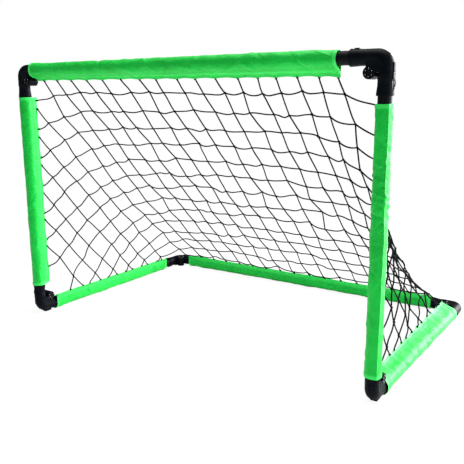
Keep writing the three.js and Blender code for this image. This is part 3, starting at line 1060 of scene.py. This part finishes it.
@dataclass
class ClothSleeve:
    """A strip of cloth folded round a tube, its edges sewn together in a laced hem.

    Over an elbow's mouth it is wider, and at a snug end it is drawn in. Lengths are in
    millimetres.
    """

    bar: Bar
    radius: float = 14.3
    mouth: float = 60.0
    mouth_radius: float = 15.4
    mouth_run: float = 7.0
    snug_radius: float = 12.7
    snug_run: float = 24.0
    band: float = 7.2
    band_dent: float = 6.9
    fold_width: float = 0.6
    stitch_inset: float = 4.6
    closed: float = 0.42
    scallop: float = 1.7
    pleat: float = 0.55
    pleat_pitch: float = 4.4
    pleat_run: float = 5.0
    cloth: float = 0.7
    floor_gap: float = 0.9
    girth: float = 110.0
    crease_pitch: float = 26.0
    crumples: int = 14
    step: float = 2.5
    hem_steps: int = 4
    flank_steps: int = 7
    round_steps: int = 34
    dash: float = 2.2
    dash_pitch: float = 3.1
    dash_radius: float = 0.32

    def __post_init__(self) -> None:
        """Draw the creases once, from the bar's own seed."""
        bar = self.bar
        rng = np.random.default_rng(bar.seed)
        run = bar.length - bar.ends[0] - bar.ends[1]
        self.creases = [
            Crease(
                along=bar.ends[0] + run * rng.random(),
                around=rng.uniform(0.08, 0.92),
                slant=rng.uniform(-1.3, 1.3),
                length=rng.uniform(14, 46),
                width=rng.uniform(1.6, 4.6),
                depth=rng.uniform(0.6, 1.7) * rng.choice((-1, 1), p=(0.35, 0.65)),
            )
            for _ in range(int(run / self.crease_pitch))
        ]
        self.creases += [
            Crease(
                along=tie + rng.uniform(-3, 3),
                around=side,
                slant=rng.uniform(-0.5, 0.5) + 6.0 * rng.choice((-1, 1)),
                length=rng.uniform(14, 30),
                width=rng.uniform(1.5, 2.6),
                depth=rng.uniform(0.5, 1.3),
            )
            for tie in bar.ties
            for side in (0.13, 0.87)
        ]
        self.creases += [
            Crease(
                along=rng.normal(*bar.crumple),
                around=rng.uniform(0.2, 0.8),
                slant=rng.uniform(0.9, 4.5) * rng.choice((-1, 1)),
                length=rng.uniform(12, 30),
                width=rng.uniform(2.2, 3.8),
                depth=rng.uniform(1.2, 2.4) * rng.choice((-1, 1)),
            )
            for _ in range(self.crumples if bar.crumple else 0)
        ]

    def wave(self, size: float, along: float, run: float, number: int) -> float:
        """Return a slow random change at a place along the bar, one of several by number."""
        return size * noise.noise(Vector((along / run, self.bar.seed * 7.3 + number, 0)))

    def radius_at(self, along: float) -> float:
        """Work out the cloth's radius round the tube.

        Args:
            along: The place along the bar.

        Returns:
            The radius.
        """
        bar = self.bar
        fit = 0.0
        if bar.ends[0] < self.mouth:
            fit = max(fit, 1 - np.clip((along - self.mouth) / self.mouth_run, 0, 1))
        if bar.ends[1] < self.mouth:
            past = bar.length - self.mouth - along
            fit = max(fit, 1 - np.clip(past / self.mouth_run, 0, 1))
        radius = self.radius + (self.mouth_radius - self.radius) * fit
        radius += self.wave(0.6, along, 48, 0)
        ends = (along - bar.ends[0], bar.length - bar.ends[1] - along)
        end = min(ends)
        snug = bar.snug[ends.index(end)]
        radius += (self.snug_radius - radius) * snug * math.exp(-(end / self.snug_run) ** 2)
        rise = 0.5 * np.clip((self.band - end) / 0.8, 0, 1)
        return radius + (rise - 0.3 * math.exp(-(end - self.band_dent) ** 2))

    def flank(self, along: float, reach: float, radius: float,
              tangent: float) -> list[tuple[float, float]]:
        """Lay out one side of the cloth, from its edge to where it meets the tube.

        Args:
            along: The place along the bar.
            reach: How far the edge is from the tube's axis.
            radius: The cloth's radius round the tube.
            tangent: The angle where it meets the tube.

        Returns:
            Its points, in X and Y.
        """
        stitch = reach - self.stitch_inset
        side = []
        for n in range(self.hem_steps):
            x = reach + (stitch - reach) * (n / self.hem_steps)
            side.append((x, self.closed + 0.35 * math.exp(-((x - reach + 0.6) / 0.9) ** 2)))
        start = Vector((stitch, self.closed))
        end = Vector((radius * math.cos(tangent), radius * math.sin(tangent)))
        for n in range(self.flank_steps):
            share = n / self.flank_steps
            point = start.lerp(end, share)
            bulge = 0.7 * math.sin(math.pi * share)
            side.append((point.x, point.y - bulge * 0.5 + self.wave(0.3 * bulge, along, 21, 9)))
        return side

    def ring(self, along: float, radius: float, tangent: float) -> list[tuple[float, float]]:
        """Lay out the cloth round the tube, with the bar's fold if it has one.

        Args:
            along: The place along the bar.
            radius: The cloth's radius.
            tangent: The angle where it starts.

        Returns:
            Its points, in X and Y.
        """
        turns = np.linspace(tangent, math.tau - tangent, self.round_steps + 1)
        radii = np.full(len(turns), radius)
        if self.bar.fold is not None:
            fold = self.bar.fold + self.wave(0.16, along, 110, 12)
            turns[np.argmin(abs(turns - fold))] = fold
            off = abs(turns - fold)
            radii = np.where(off < self.fold_width, radius / np.cos(self.fold_width - off), radius)
        return list(zip(radii * np.cos(turns), radii * np.sin(turns)))

    def section(self, along: float) -> np.ndarray:
        """Return the cloth's cross-section at a place along the bar.

        Args:
            along: The place, in millimetres from the bar's start.

        Returns:
            Points from one edge of the strip, round the tube, to the other, in X and Y.
        """
        ties = self.bar.ties
        reach = self.bar.reach_at(along)
        nearest = math.inf
        if len(ties) > 1:
            place = int(np.clip(np.searchsorted(ties, along), 1, len(ties) - 1))
            before, after = ties[place - 1], ties[place]
            share = np.clip((along - before) / (after - before), 0, 1)
            reach -= self.scallop * math.sin(math.pi * share) ** 1.4
            nearest = min(abs(along - before), abs(along - after))
        radius = self.radius_at(along)
        tangent = math.acos(min(0.999, radius / (reach - self.stitch_inset)))
        side = self.flank(along, reach, radius, tangent)
        ring = self.ring(along, radius, tangent)
        points = np.array(side + ring + [(x, -y) for x, y in reversed(side)], float)
        lean = self.wave(2.6, along, 75, 3) + self.wave(0.9, along, 17, 5)
        ripple = math.sin(math.tau * along / self.pleat_pitch)
        pleat = self.pleat * ripple * math.exp(-(nearest / self.pleat_run) ** 2)
        past = np.clip((points[:, 0] - 12.0) / 17.0, 0, 1.4)
        points[:, 1] += lean * past ** 1.6 + pleat * np.clip((points[:, 0] - 17) / 10, 0, 1.2)
        return points

    def tightness(self, places: np.ndarray) -> np.ndarray:
        """Work out how little the cloth can sink in, over the mouths and at snug ends.

        Args:
            places: Each row's place along the bar.

        Returns:
            A share from 0 to 1 for each row.
        """
        bar = self.bar
        tight = np.zeros(len(places))
        if bar.ends[0] < self.mouth:
            tight[places < self.mouth + 4] = 1
        if bar.ends[1] < self.mouth:
            tight[places > bar.length - self.mouth - 4] = 1
        for snug, away in zip(bar.snug, (places - places[0], places[-1] - places)):
            if snug:
                tight = np.maximum(tight, np.clip(1 - away / self.snug_run, 0, 1))
        return tight

    def surface(self) -> tuple[np.ndarray, np.ndarray]:
        """Work out the cloth's points.

        Returns:
            The points as rows along the bar and columns round it, and each row's place.
        """
        bar = self.bar
        low, high = bar.ends[0], bar.length - bar.ends[1]
        places = np.linspace(low, high, int((high - low) / self.step) + 1)
        flat = np.array([self.section(t) for t in places])
        around = np.linspace(0, 1, flat.shape[1])
        tangent = np.gradient(flat, axis=1)
        normal = np.stack([tangent[..., 1], -tangent[..., 0]], -1)
        normal /= np.linalg.norm(normal, axis=-1, keepdims=True) + 1e-9
        lift = sum(crease.lift(places, around, self.girth) for crease in self.creases)
        seed = bar.seed * 3.1
        for row, t in enumerate(places):
            for col, a in enumerate(around):
                where = Vector((t / 34, a * 5.0, seed))
                lift[row, col] += 0.7 * noise.noise(where) + 0.36 * noise.noise(where * 3.1)
        lift *= 1 - 0.8 * np.clip((flat[..., 0] - 16.5) / 6, 0, 1)
        ends = np.minimum(places - low, high - places)[:, None]
        sunk = -1.3 + 1.15 * self.tightness(places)[:, None]
        lift = np.clip(lift, sunk, 2.1 - 1.2 * np.clip(1 - ends / 14, 0, 1))
        ragged = np.array([noise.noise(Vector((a * 6, seed, 8))) for a in around])
        points = np.empty((*flat.shape[:2], 3))
        points[..., :2] = flat + normal * lift[..., None]
        points[..., 2] = places[:, None] + 0.9 * np.clip(1 - ends / 9, 0, 1) * ragged[None, :]
        return points, places

    def above_floor(self, points: np.ndarray) -> np.ndarray:
        """Lift what would reach below the floor.

        Args:
            points: The cloth's points, in the bar's frame.

        Returns:
            The points, none lower than floor_gap.
        """
        matrix = self.bar.matrix()
        turn, shift = np.array(matrix.to_3x3()), np.array(matrix.translation)
        world = points @ turn.T + shift
        world[..., 2] = np.maximum(world[..., 2], self.floor_gap * MM)
        return (world - shift) @ np.linalg.inv(turn).T

    def build(self, looks: dict) -> None:
        """Make the cloth, its thickness and its stitches.

        Args:
            looks: The materials by name.
        """
        bar = self.bar
        matrix = bar.matrix()
        points, places = self.surface()
        points = self.above_floor(points)
        rows, cols = points.shape[:2]
        bm = bmesh.new()
        cloth = bm.loops.layers.uv.new("cloth")
        layers = bm.verts.layers.float.new("layers")
        bmesh.ops.create_grid(bm, x_segments=rows - 1, y_segments=cols - 1, size=0.5)
        run = np.linalg.norm(np.diff(points.mean(0), axis=0), axis=1)
        across = np.concatenate([[0], np.cumsum(run)]) * MM
        spot = {
            v: (round((v.co.x + 0.5) * (rows - 1)), round((v.co.y + 0.5) * (cols - 1)))
            for v in bm.verts
        }
        for face in bm.faces:
            for loop in face.loops:
                row, col = spot[loop.vert]
                loop[cloth].uv = (places[row] * MM, across[col])
        for vert, (row, col) in spot.items():
            end = min(places[row] - places[0], places[-1] - places[row])
            # The layers attribute: 0.8 on the hem flap and 1 on the end bands, where the fabric is
            # painted paler, partly for the double cloth and partly as a painted highlight.
            in_hem = np.clip((points[row, col, 0] - 15.5) / 4, 0, 1)
            in_band = np.clip((7.0 - end) / 0.7, 0, 1)
            vert[layers] = float(max(0.8 * in_hem, in_band))
            vert.co = matrix @ Vector(points[row, col])
        side = matrix @ Vector((0, 14, bar.length / 2))
        nearest = min(bm.faces, key=lambda f: (f.calc_center_median() - side).length)
        if nearest.normal.dot(matrix.to_3x3() @ Y) < 0:
            bmesh.ops.reverse_faces(bm, faces=bm.faces)
        bmesh.ops.solidify(bm, geom=bm.faces[:], thickness=-self.cloth * MM)
        self.stitches(bm, points, matrix)
        materials = [looks["fabric"], looks["thread"]]
        nodes = (f"{bar.name}_sleeve",)
        piece = Shapes.finish(f"{bar.name}_cloth", bm, materials, bar.body, Slot.FABRIC, nodes,
                              60.0)
        length = (bar.length - sum(bar.ends)) * MM

    def stitches(self, bm: BMesh, points: np.ndarray, matrix: Matrix) -> None:
        """Add the thread's dashes along the hem and round both ends.

        Args:
            bm: The cloth's mesh.
            points: Its surface.
            matrix: The bar's frame.
        """
        rows, cols = points.shape[:2]
        tracks = []
        for col, sign in ((self.hem_steps, 1.0), (cols - 1 - self.hem_steps, -1.0)):
            track = points[2:rows - 2, col]
            tracks.append((track, np.tile([0.0, sign, 0.0], (len(track), 1))))
        back = round(6.2 / self.step)
        for row in (back, rows - 1 - back):
            side = np.gradient(points[row, :, :2], axis=0)[2:cols - 2]
            normal = np.stack([side[:, 1], -side[:, 0], 0 * side[:, 0]], -1)
            normal /= np.linalg.norm(normal, axis=1, keepdims=True) + 1e-9
            tracks.append((points[row, 2:cols - 2], normal))
        size = Matrix.Diagonal((self.dash / 2, self.dash_radius, self.dash_radius, 1))
        dashes = []
        for track, normal in tracks:
            steps = np.linalg.norm(np.diff(track, axis=0), axis=1)
            lengths = np.concatenate([[0], np.cumsum(steps)])
            for at in np.arange(1.0, lengths[-1] - self.dash, self.dash_pitch):
                start, end, out = (
                    np.array([np.interp(s, lengths, column) for column in values.T])
                    for s, values in ((at, track), (at + self.dash, track), (at, normal))
                )
                middle = Vector((start + end) / 2 + out * self.cloth * 0.62)
                turn = along_x(Vector(end - start))
                dashes.append(matrix @ Matrix.Translation(middle) @ turn @ size)
        Shapes.lumps(bm, dashes, 1)


@dataclass(frozen=True)
class Cord:
    """One cord of the net, from a knot to another knot or to a point on a hem."""

    start: int
    other: int | None
    tied: Vector | None
    share: float
    row: bool


@dataclass
class KnottedNet:
    """The net, knot by knot: a back that slopes to the rear bar, and two triangular sides.

    In the flat it is one mesh of columns and rows. Past the fold on each side it goes on
    over the triangle between post and side bar. The columns carry it, and the rows lie
    slack between them.
    """

    goal: GoalFrame
    bars: dict[str, Bar]
    columns: int = 16
    rows: int = 14
    first: float = 0.74
    last: float = 0.3
    corner_cut: float = 0.1
    cord: float = 0.0015
    lacing: tuple = (58, 101, 146, 193, 241, 295, 346, 390, 443, 488, 535, 586, 629, 666, 709,
                     750, 785)
    tie_past: float = -2.0
    sag: float = 0.00011
    row_pull: float = 0.14
    side_pull: float = 1.7
    edge_share: float = 0.3
    rounds: int = 1800
    jitter: float = 0.0026
    tuck: float = 0.006
    keep: float = 0.006
    knot_back: float = 0.0035
    row_slack: float = 0.0042
    column_slack: float = 0.0012
    seed: int = 11

    def __post_init__(self) -> None:
        """Work out the flat pattern's sizes."""
        g = self.goal
        self.slope = math.hypot(g.height, g.depth)
        self.apex_across = g.height * g.depth / self.slope
        self.apex_down = g.height ** 2 / self.slope
        self.half = g.width / 2
        self.column_step = g.width / self.columns
        self.row_step = self.slope / (self.rows - 1 + self.first + self.last)

    def tie(self, bar: str, share: float) -> Vector:
        """Find where a cord meets the crossbar's or the rear bar's hem.

        The crossbar's hem is laced unevenly: lacing lists its cords' places along the bar.

        Args:
            bar: The bar's name.
            share: How far along the net's edge the cord is, from 0 to 1.

        Returns:
            The point.
        """
        if bar != "crossbar":
            return self.bars[bar].hem_point(share, self.tie_past)
        along = np.interp(share, np.linspace(0, 1, len(self.lacing)), self.lacing)
        return self.bars[bar].hem_at(float(along), self.tie_past)

    def side_tie(self, bar: str, share: float) -> Vector:
        """Find where a cord meets a side's hem. The flat net's corner is cut off at the fold.

        Args:
            bar: The bar's name.
            share: How far from the fold to the far corner the cord is.

        Returns:
            The point.
        """
        past = max(0.0, (share - self.corner_cut) / (1 - self.corner_cut))
        return self.bars[bar].hem_point(1 - past, self.tie_past)

    def column_edges(self, a: float) -> tuple[tuple[float, Vector], tuple[float, Vector]]:
        """Find where a column starts and ends.

        Args:
            a: The column's place across the flat net.

        Returns:
            The first and the last place down it, each with the point that it ties to.
        """
        past = abs(a) - self.half
        if past <= 1e-6:
            share = (a + self.half) / self.goal.width
            return (0.0, self.tie("crossbar", share)), (self.slope, self.tie("rear_bar", share))
        share = past / self.apex_across
        side = "left" if a < 0 else "right"
        top = (self.apex_down * share, self.side_tie(f"{side}_post", share))
        low = self.slope - (self.slope - self.apex_down) * share
        return top, (low, self.side_tie(f"{side}_side_bar", share))

    def row_edge(self, b: float, sign: int) -> tuple[float, Vector]:
        """Find where a row ends on one side.

        Args:
            b: The row's place down the flat net.
            sign: -1 for the left end and 1 for the right.

        Returns:
            The place across, and the point that it ties to.
        """
        side = "left" if sign < 0 else "right"
        if b < self.apex_down:
            share, bar = b / self.apex_down, f"{side}_post"
        else:
            share, bar = (self.slope - b) / (self.slope - self.apex_down), f"{side}_side_bar"
        past = self.apex_across * max(share, self.corner_cut)
        return sign * (self.half + past), self.side_tie(bar, share)

    def ends(self, a: float, b: float) -> list[tuple[tuple[int, int], Vector, float, bool]]:
        """Look from a knot along its column and its row, both ways.

        Args:
            a: The knot's place across the flat net.
            b: Its place down.

        Returns:
            For each way the step in columns and rows, the hem's point, how many meshes away
            that is, and whether the way is along the row.
        """
        top, bottom = self.column_edges(a)
        left, right = self.row_edge(b, -1), self.row_edge(b, 1)
        return [
            ((0, -1), top[1], (b - top[0]) / self.row_step, False),
            ((0, 1), bottom[1], (bottom[0] - b) / self.row_step, False),
            ((-1, 0), left[1], (a - left[0]) / self.column_step, True),
            ((1, 0), right[1], (right[0] - a) / self.column_step, True),
        ]

    def layout(self) -> tuple[np.ndarray, np.ndarray, list[Cord]]:
        """Lay out the knots in the flat.

        Returns:
            The knots' places in the flat, where they start in the goal, and the cords.
        """
        reach = int((self.half + self.apex_across) / self.column_step)
        number, flat, start = {}, [], []
        for i in range(-reach, reach + 1):
            a = i * self.column_step
            top, bottom = self.column_edges(a)
            for j in range(self.rows):
                b = (self.first + j) * self.row_step
                if min(share for *_, share, _ in self.ends(a, b)) <= self.edge_share:
                    continue
                number[i, j] = len(flat)
                flat.append((a, b))
                start.append(top[1].lerp(bottom[1], b / self.slope))
        cords = []
        for (i, j), n in number.items():
            for (across, down), tied, share, row in self.ends(*flat[n]):
                other = number.get((i + across, j + down))
                if other is None:
                    cords.append(Cord(n, None, tied, share, row))
                else:
                    cords.append(Cord(n, other, None, 1.0, row))
        return np.array(flat), np.array(start), cords

    def relax(self, flat: np.ndarray, places: np.ndarray, cords: list[Cord]) -> np.ndarray:
        """Draw each knot to the mean of its neighbours until the net hangs still.

        Args:
            flat: Where the knots are in the flat.
            places: Where the knots start.
            cords: The cords between them.

        Returns:
            Where the knots end.
        """
        def pull(cord: Cord) -> float:
            """Work out how hard a cord pulls for its length.

            Args:
                cord: The cord.

            Returns:
                Its force density.
            """
            row = self.row_pull * (self.side_pull if abs(flat[cord.start][0]) > self.half else 1.0)
            return (row if cord.row else 1.0) / cord.share

        inner = [c for c in cords if c.other is not None]
        here = np.array([c.start for c in inner])
        there = np.array([c.other for c in inner])
        weight = np.array([pull(c) for c in inner])
        total = np.bincount(here, weights=weight, minlength=len(places))
        fixed = np.zeros_like(places)
        for cord in cords:
            if cord.other is None:
                fixed[cord.start] += np.array(cord.tied) * pull(cord)
                total[cord.start] += pull(cord)
        for _ in range(self.rounds):
            summed = fixed.copy()
            np.add.at(summed, here, places[there] * weight[:, None])
            places = summed / total[:, None]
            places[:, 2] -= self.sag / total
        return places

    def strand(self, start: Vector, end: Vector, slack: float,
               rng: np.random.Generator) -> list[Vector]:
        """Bend one cord, which hangs a little slack.

        Args:
            start: One end.
            end: The other end.
            slack: How far its middle hangs.
            rng: Where its chances are drawn from.

        Returns:
            Points along it.
        """
        side = Vector(rng.normal(0, 1, 3)) * slack * 0.25
        bow = side - Z * slack * rng.uniform(0.1, 1.0)
        turn = Vector(rng.normal(0, 1, 3)) * slack * 0.18
        path = []
        for t in np.linspace(0, 1, 8):
            path.append(start.lerp(end, t) + bow * 4 * t * (1 - t) + turn * math.sin(math.tau * t))
        return path

    def build(self, looks: dict) -> None:
        """Make the cords and the knots.

        Args:
            looks: The materials by name.
        """
        rng = np.random.default_rng(self.seed)
        flat, start, cords = self.layout()
        places = self.relax(flat, start, cords)
        places = places + rng.normal(0, self.jitter, places.shape)
        curve = bpy.data.curves.new("net_cords", "CURVE")
        curve.dimensions = "3D"
        curve.bevel_depth = self.cord
        curve.bevel_resolution = 1
        curve.use_fill_caps = True
        tied = []
        for cord in cords:
            if cord.other is not None and cord.other < cord.start:
                continue
            begin = Vector(places[cord.start])
            end = cord.tied if cord.other is None else Vector(places[cord.other])
            if cord.other is None:
                tied.append((end, (end - begin).normalized()))
            path = self.strand(begin, end, self.row_slack if cord.row else self.column_slack, rng)
            line = curve.splines.new("POLY")
            line.points.add(len(path) - 1)
            for p, q in zip(line.points, path):
                p.co = (*q, 1)
        holder = linked("net_cords", curve)
        graph = bpy.context.evaluated_depsgraph_get()
        bm = bmesh.new()
        bm.from_mesh(holder.evaluated_get(graph).to_mesh())
        bpy.data.objects.remove(holder)
        bpy.data.curves.remove(curve)
        knots = [Vector(place) for place in places]
        knots += [place - way * self.knot_back for place, way in tied]
        Shapes.lumps(bm, [matrix for place in knots for matrix in self.knot(place, rng)])
        net = Shapes.finish("knotted_net", bm, [looks["net"]], Body.FRONT, Slot.NET,
                            ("net_back", "net_left", "net_right"), 60.0)
        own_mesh(net)
        LOG.info("knots: %d, cords: %d", len(places), len(cords))

    def knot(self, place: Vector, rng: np.random.Generator) -> list[Matrix]:
        """Tie one knot.

        Args:
            place: Where it is.
            rng: Where its turn is drawn from.

        Returns:
            The two crossed lumps that it is made of.
        """
        turn = along_x(Vector(rng.normal(0, 1, 3)))
        made = []
        for number, size in enumerate(((3.3, 2.1, 2.0), (2.0, 2.9, 2.0))):
            shape = Matrix.Diagonal((*(s * MM for s in size), 1))
            shift = Matrix.Translation(place + Vector(rng.normal(0, 0.0004, 3)) * number)
            made.append(shift @ turn @ shape)
        return made


# The studio


@dataclass(frozen=True)
class Lamp:
    """A soft square lamp, with its side in metres and its power in watts."""

    name: str
    place: tuple
    aim: tuple
    size: float
    power: float

    def hang(self) -> None:
        """Add the lamp, pointing at its aim."""
        data = bpy.data.lights.new(self.name, "AREA")
        data.shape, data.size, data.energy = "SQUARE", self.size, self.power
        lamp = linked(self.name, data)
        lamp.location = self.place
        way = Vector(self.aim) - Vector(self.place)
        lamp.rotation_euler = way.to_track_quat("-Z", "Y").to_euler()


@dataclass(frozen=True)
class Studio:
    """The floor, the lamps and the camera of the photograph."""

    place: tuple = (0.8037, -1.258, 0.5323)
    yaw: float = 33.99
    pitch: float = 12.35
    roll: float = -0.38
    focal: float = 630.8
    picture: float = 464.0
    sensor: float = 36.0
    air: float = 0.43
    mirrored: float = 0.14
    lamps: tuple = (
        Lamp("rear_softbox", (2.0, 3.2, 1.0), (0.1, 0.0, 0.2), 2.6, 360.0),
        Lamp("right_softbox", (2.9, 0.6, 1.0), (0.1, 0.0, 0.2), 1.7, 70.0),
        Lamp("top_softbox", (0.1, 0.1, 2.6), (0, 0, 0.2), 1.8, 78.0),
    )

    def camera(self) -> None:
        """Put the camera where the photograph was taken from."""
        yaw, pitch, roll = (math.radians(a) for a in (self.yaw, self.pitch, self.roll))
        level = math.cos(pitch)
        ahead = Vector((-math.sin(yaw) * level, math.cos(yaw) * level, -math.sin(pitch)))
        right = Vector((math.cos(yaw), math.sin(yaw), 0))
        up = right.cross(ahead)
        turned = math.cos(roll) * right + math.sin(roll) * up
        lifted = -math.sin(roll) * right + math.cos(roll) * up
        data = bpy.data.cameras.new("photo_camera")
        data.sensor_width = self.sensor
        data.lens = self.focal / self.picture * self.sensor
        data.clip_start, data.clip_end = 0.05, 60.0
        camera = linked("photo_camera", data)
        camera.matrix_world = Matrix.Translation(self.place) @ axes(turned, lifted, -ahead)
        bpy.context.scene.camera = camera

    def floor(self) -> None:
        """Lay a pale floor that keeps the goal's shadow."""
        p = Palette("studio_floor")
        grain = p.noise(p.place, 7.0, 3.0)
        pale = p.ramp(grain, 0.2, 0.8, (0.90, 0.90, 0.90), (0.93, 0.93, 0.93))
        p.put(p.shader, {"Base Color": pale, "Roughness": 0.8})
        seen = p.add("LightPath").outputs["Is Camera Ray"]
        away = p.add("VectorMath", {0: p.place}, operation="LENGTH").outputs["Value"]
        fade = p.add("MapRange", {"Value": away, "From Min": 0.5, "From Max": 1.7, "To Min": 0.92,
                                  "To Max": 1.0})
        share = p.add("Math", {0: seen, 1: fade.outputs[0]}, operation="MULTIPLY").outputs[0]
        glow = p.add("Emission", {"Color": (1, 1, 1, 1), "Strength": 1.0})
        mix = p.add("MixShader", {0: share, 1: p.shader.outputs[0], 2: glow.outputs[0]})
        p.put(p.out, {"Surface": mix.outputs[0]})
        bm = bmesh.new()
        bmesh.ops.create_grid(bm, x_segments=1, y_segments=1, size=30.0)
        floor = linked("studio_floor", to_mesh("studio_floor", bm))
        floor.data.materials.append(p.material)

    def world(self) -> None:
        """Fill the room with even light, white where it is seen."""
        world = bpy.data.worlds.new("studio_air")
        world.use_nodes = True
        p = Nodes(world.node_tree)
        ray = p.add("LightPath")
        strength = self.air
        for rays, seen in (("Is Glossy Ray", self.mirrored), ("Is Camera Ray", 1.0)):
            mix = p.add("Mix", {"Factor": ray.outputs[rays], "A": strength, "B": seen})
            strength = mix.outputs["Result"]
        air = p.add("Background", {"Color": (1, 1, 1, 1), "Strength": strength})
        p.add("OutputWorld", {"Surface": air.outputs[0]})
        bpy.context.scene.world = world

    def build(self) -> None:
        """Set up the whole studio."""
        self.camera()
        self.floor()
        self.world()
        for lamp in self.lamps:
            lamp.hang()
        bpy.context.scene.view_settings.view_transform = "Standard"


@dataclass
class FloorballGoal:
    """The whole goal."""

    goal: GoalFrame = field(default_factory=GoalFrame)

    def looks(self) -> dict:
        """Make every finish once.

        Returns:
            The materials by name.
        """
        return {
            "elbow": MouldedPlastic("elbow_plastic").make(),
            "pin": MouldedPlastic("pin_plastic", colour=(0.005, 0.0055, 0.007),
                                  rough=(0.25, 0.4)).make(),
            "rivet": BrightRivet("bright_rivet").make(),
            "tubes": [DrawnTube(f"drawn_tube_{n}", stretch=tuple(90.0 - 85.0 * c for c in way)).make()
                      for n, way in zip("xyz", (X, Y, Z))],
            "fabric": WovenFabric("woven_polyester").make(),
            "thread": SewingThread("sewing_thread").make(),
            "net": NetCord("net_cord").make(),
        }

    def bars(self) -> dict[str, Bar]:
        """Describe the six bars.

        Returns:
            The bars by name.
        """
        g = self.goal

        def turned(way: Vector, towards: Vector, degrees: float) -> Vector:
            """Turn a direction.

            Args:
                way: The direction.
                towards: What it is turned towards.
                degrees: How far.

            Returns:
                The new direction.
            """
            a = math.radians(degrees)
            return way * math.cos(a) + towards * math.sin(a)

        top_left, front_left = g.corner(-1, top=True), g.corner(-1)
        front_right, rear_left = g.corner(1), g.corner(-1, rear=True)
        width, height, depth = (d / MM for d in (g.width, g.height, g.depth))
        front, floor = Body.FRONT, Body.FLOOR
        rows = [
            Bar("crossbar", top_left, X, turned(-Z, Y, 22), width, (36, 81), front, 1,
                reach=(25.0, 31.0), snug=(False, True)),
            Bar("left_post", front_left, Z, turned(Y, X, 10), height, (58, 61), front, 2),
            Bar("right_post", front_right, Z, turned(Y, -X, 10), height, (36, 73), front, 3,
                fold=3.75, crumple=(375.0, 40.0)),
            Bar("left_side_bar", front_left, Y, turned(Z, X, 38), depth, (40, 84), floor, 4),
            Bar("right_side_bar", front_right, Y, turned(Z, -X, 38), depth, (38, 60), floor, 5,
                reach=(28.0, 35.0), crumple=(250.0, 60.0)),
            Bar("rear_bar", rear_left, X, turned(Z, -Y, 40), width, (50, 62), floor, 6),
        ]
        return {bar.name: bar for bar in rows}

    def elbows(self, looks: dict) -> None:
        """Put the six elbows in their corners."""
        g = self.goal
        elbow = FoldingElbow()
        front, floor = Body.FRONT, Body.FLOOR
        rows = [
            ("top_left", g.corner(-1, top=True), X, -Z, (front, front), Floor.NONE, False),
            ("top_right", g.corner(1, top=True), -X, -Z, (front, front), Floor.NONE, False),
            ("front_left", g.corner(-1), Y, Z, (floor, front), Floor.BELOW, False),
            ("front_right", g.corner(1), Y, Z, (floor, front), Floor.BELOW, True),
            ("rear_left", g.corner(-1, rear=True), -Y, X, (floor, floor), Floor.UNDER, True),
            ("rear_right", g.corner(1, rear=True), -Y, -X, (floor, floor), Floor.OVER, False),
        ]
        for row in rows:
            elbow.place(*row, looks)

    def tie(self, bar: Bar, points: list[Vector]) -> None:
        """Tell a bar where cords are tied to its hem.

        Args:
            bar: The bar.
            points: Where cords are tied, to any bar.
        """
        inverse = bar.matrix().inverted()
        for point in points:
            local = inverse @ point
            off = abs(local.x - bar.reach_at(local.z))
            if abs(local.y) < 0.5 and off < 4 and 0 < local.z < bar.length:
                bar.ties.append(local.z)
        bar.ties.sort()

    def build(self) -> None:
        """Build every piece."""
        looks = self.looks()
        bars = self.bars()
        net = KnottedNet(self.goal, bars)
        tied = [cord.tied for cord in net.layout()[2] if cord.other is None]
        self.elbows(looks)
        for bar in bars.values():
            self.tie(bar, tied)
            bar.place_tube(looks)
            ClothSleeve(bar).build(looks)
        net.build(looks)


def main() -> None:
    """Build the goal and its studio, and log the pieces' face counts."""
    logging.basicConfig(level=logging.INFO, format="%(message)s")
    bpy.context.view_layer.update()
    Studio().build()
    FloorballGoal().build()


if __name__ == "__main__":
    main()
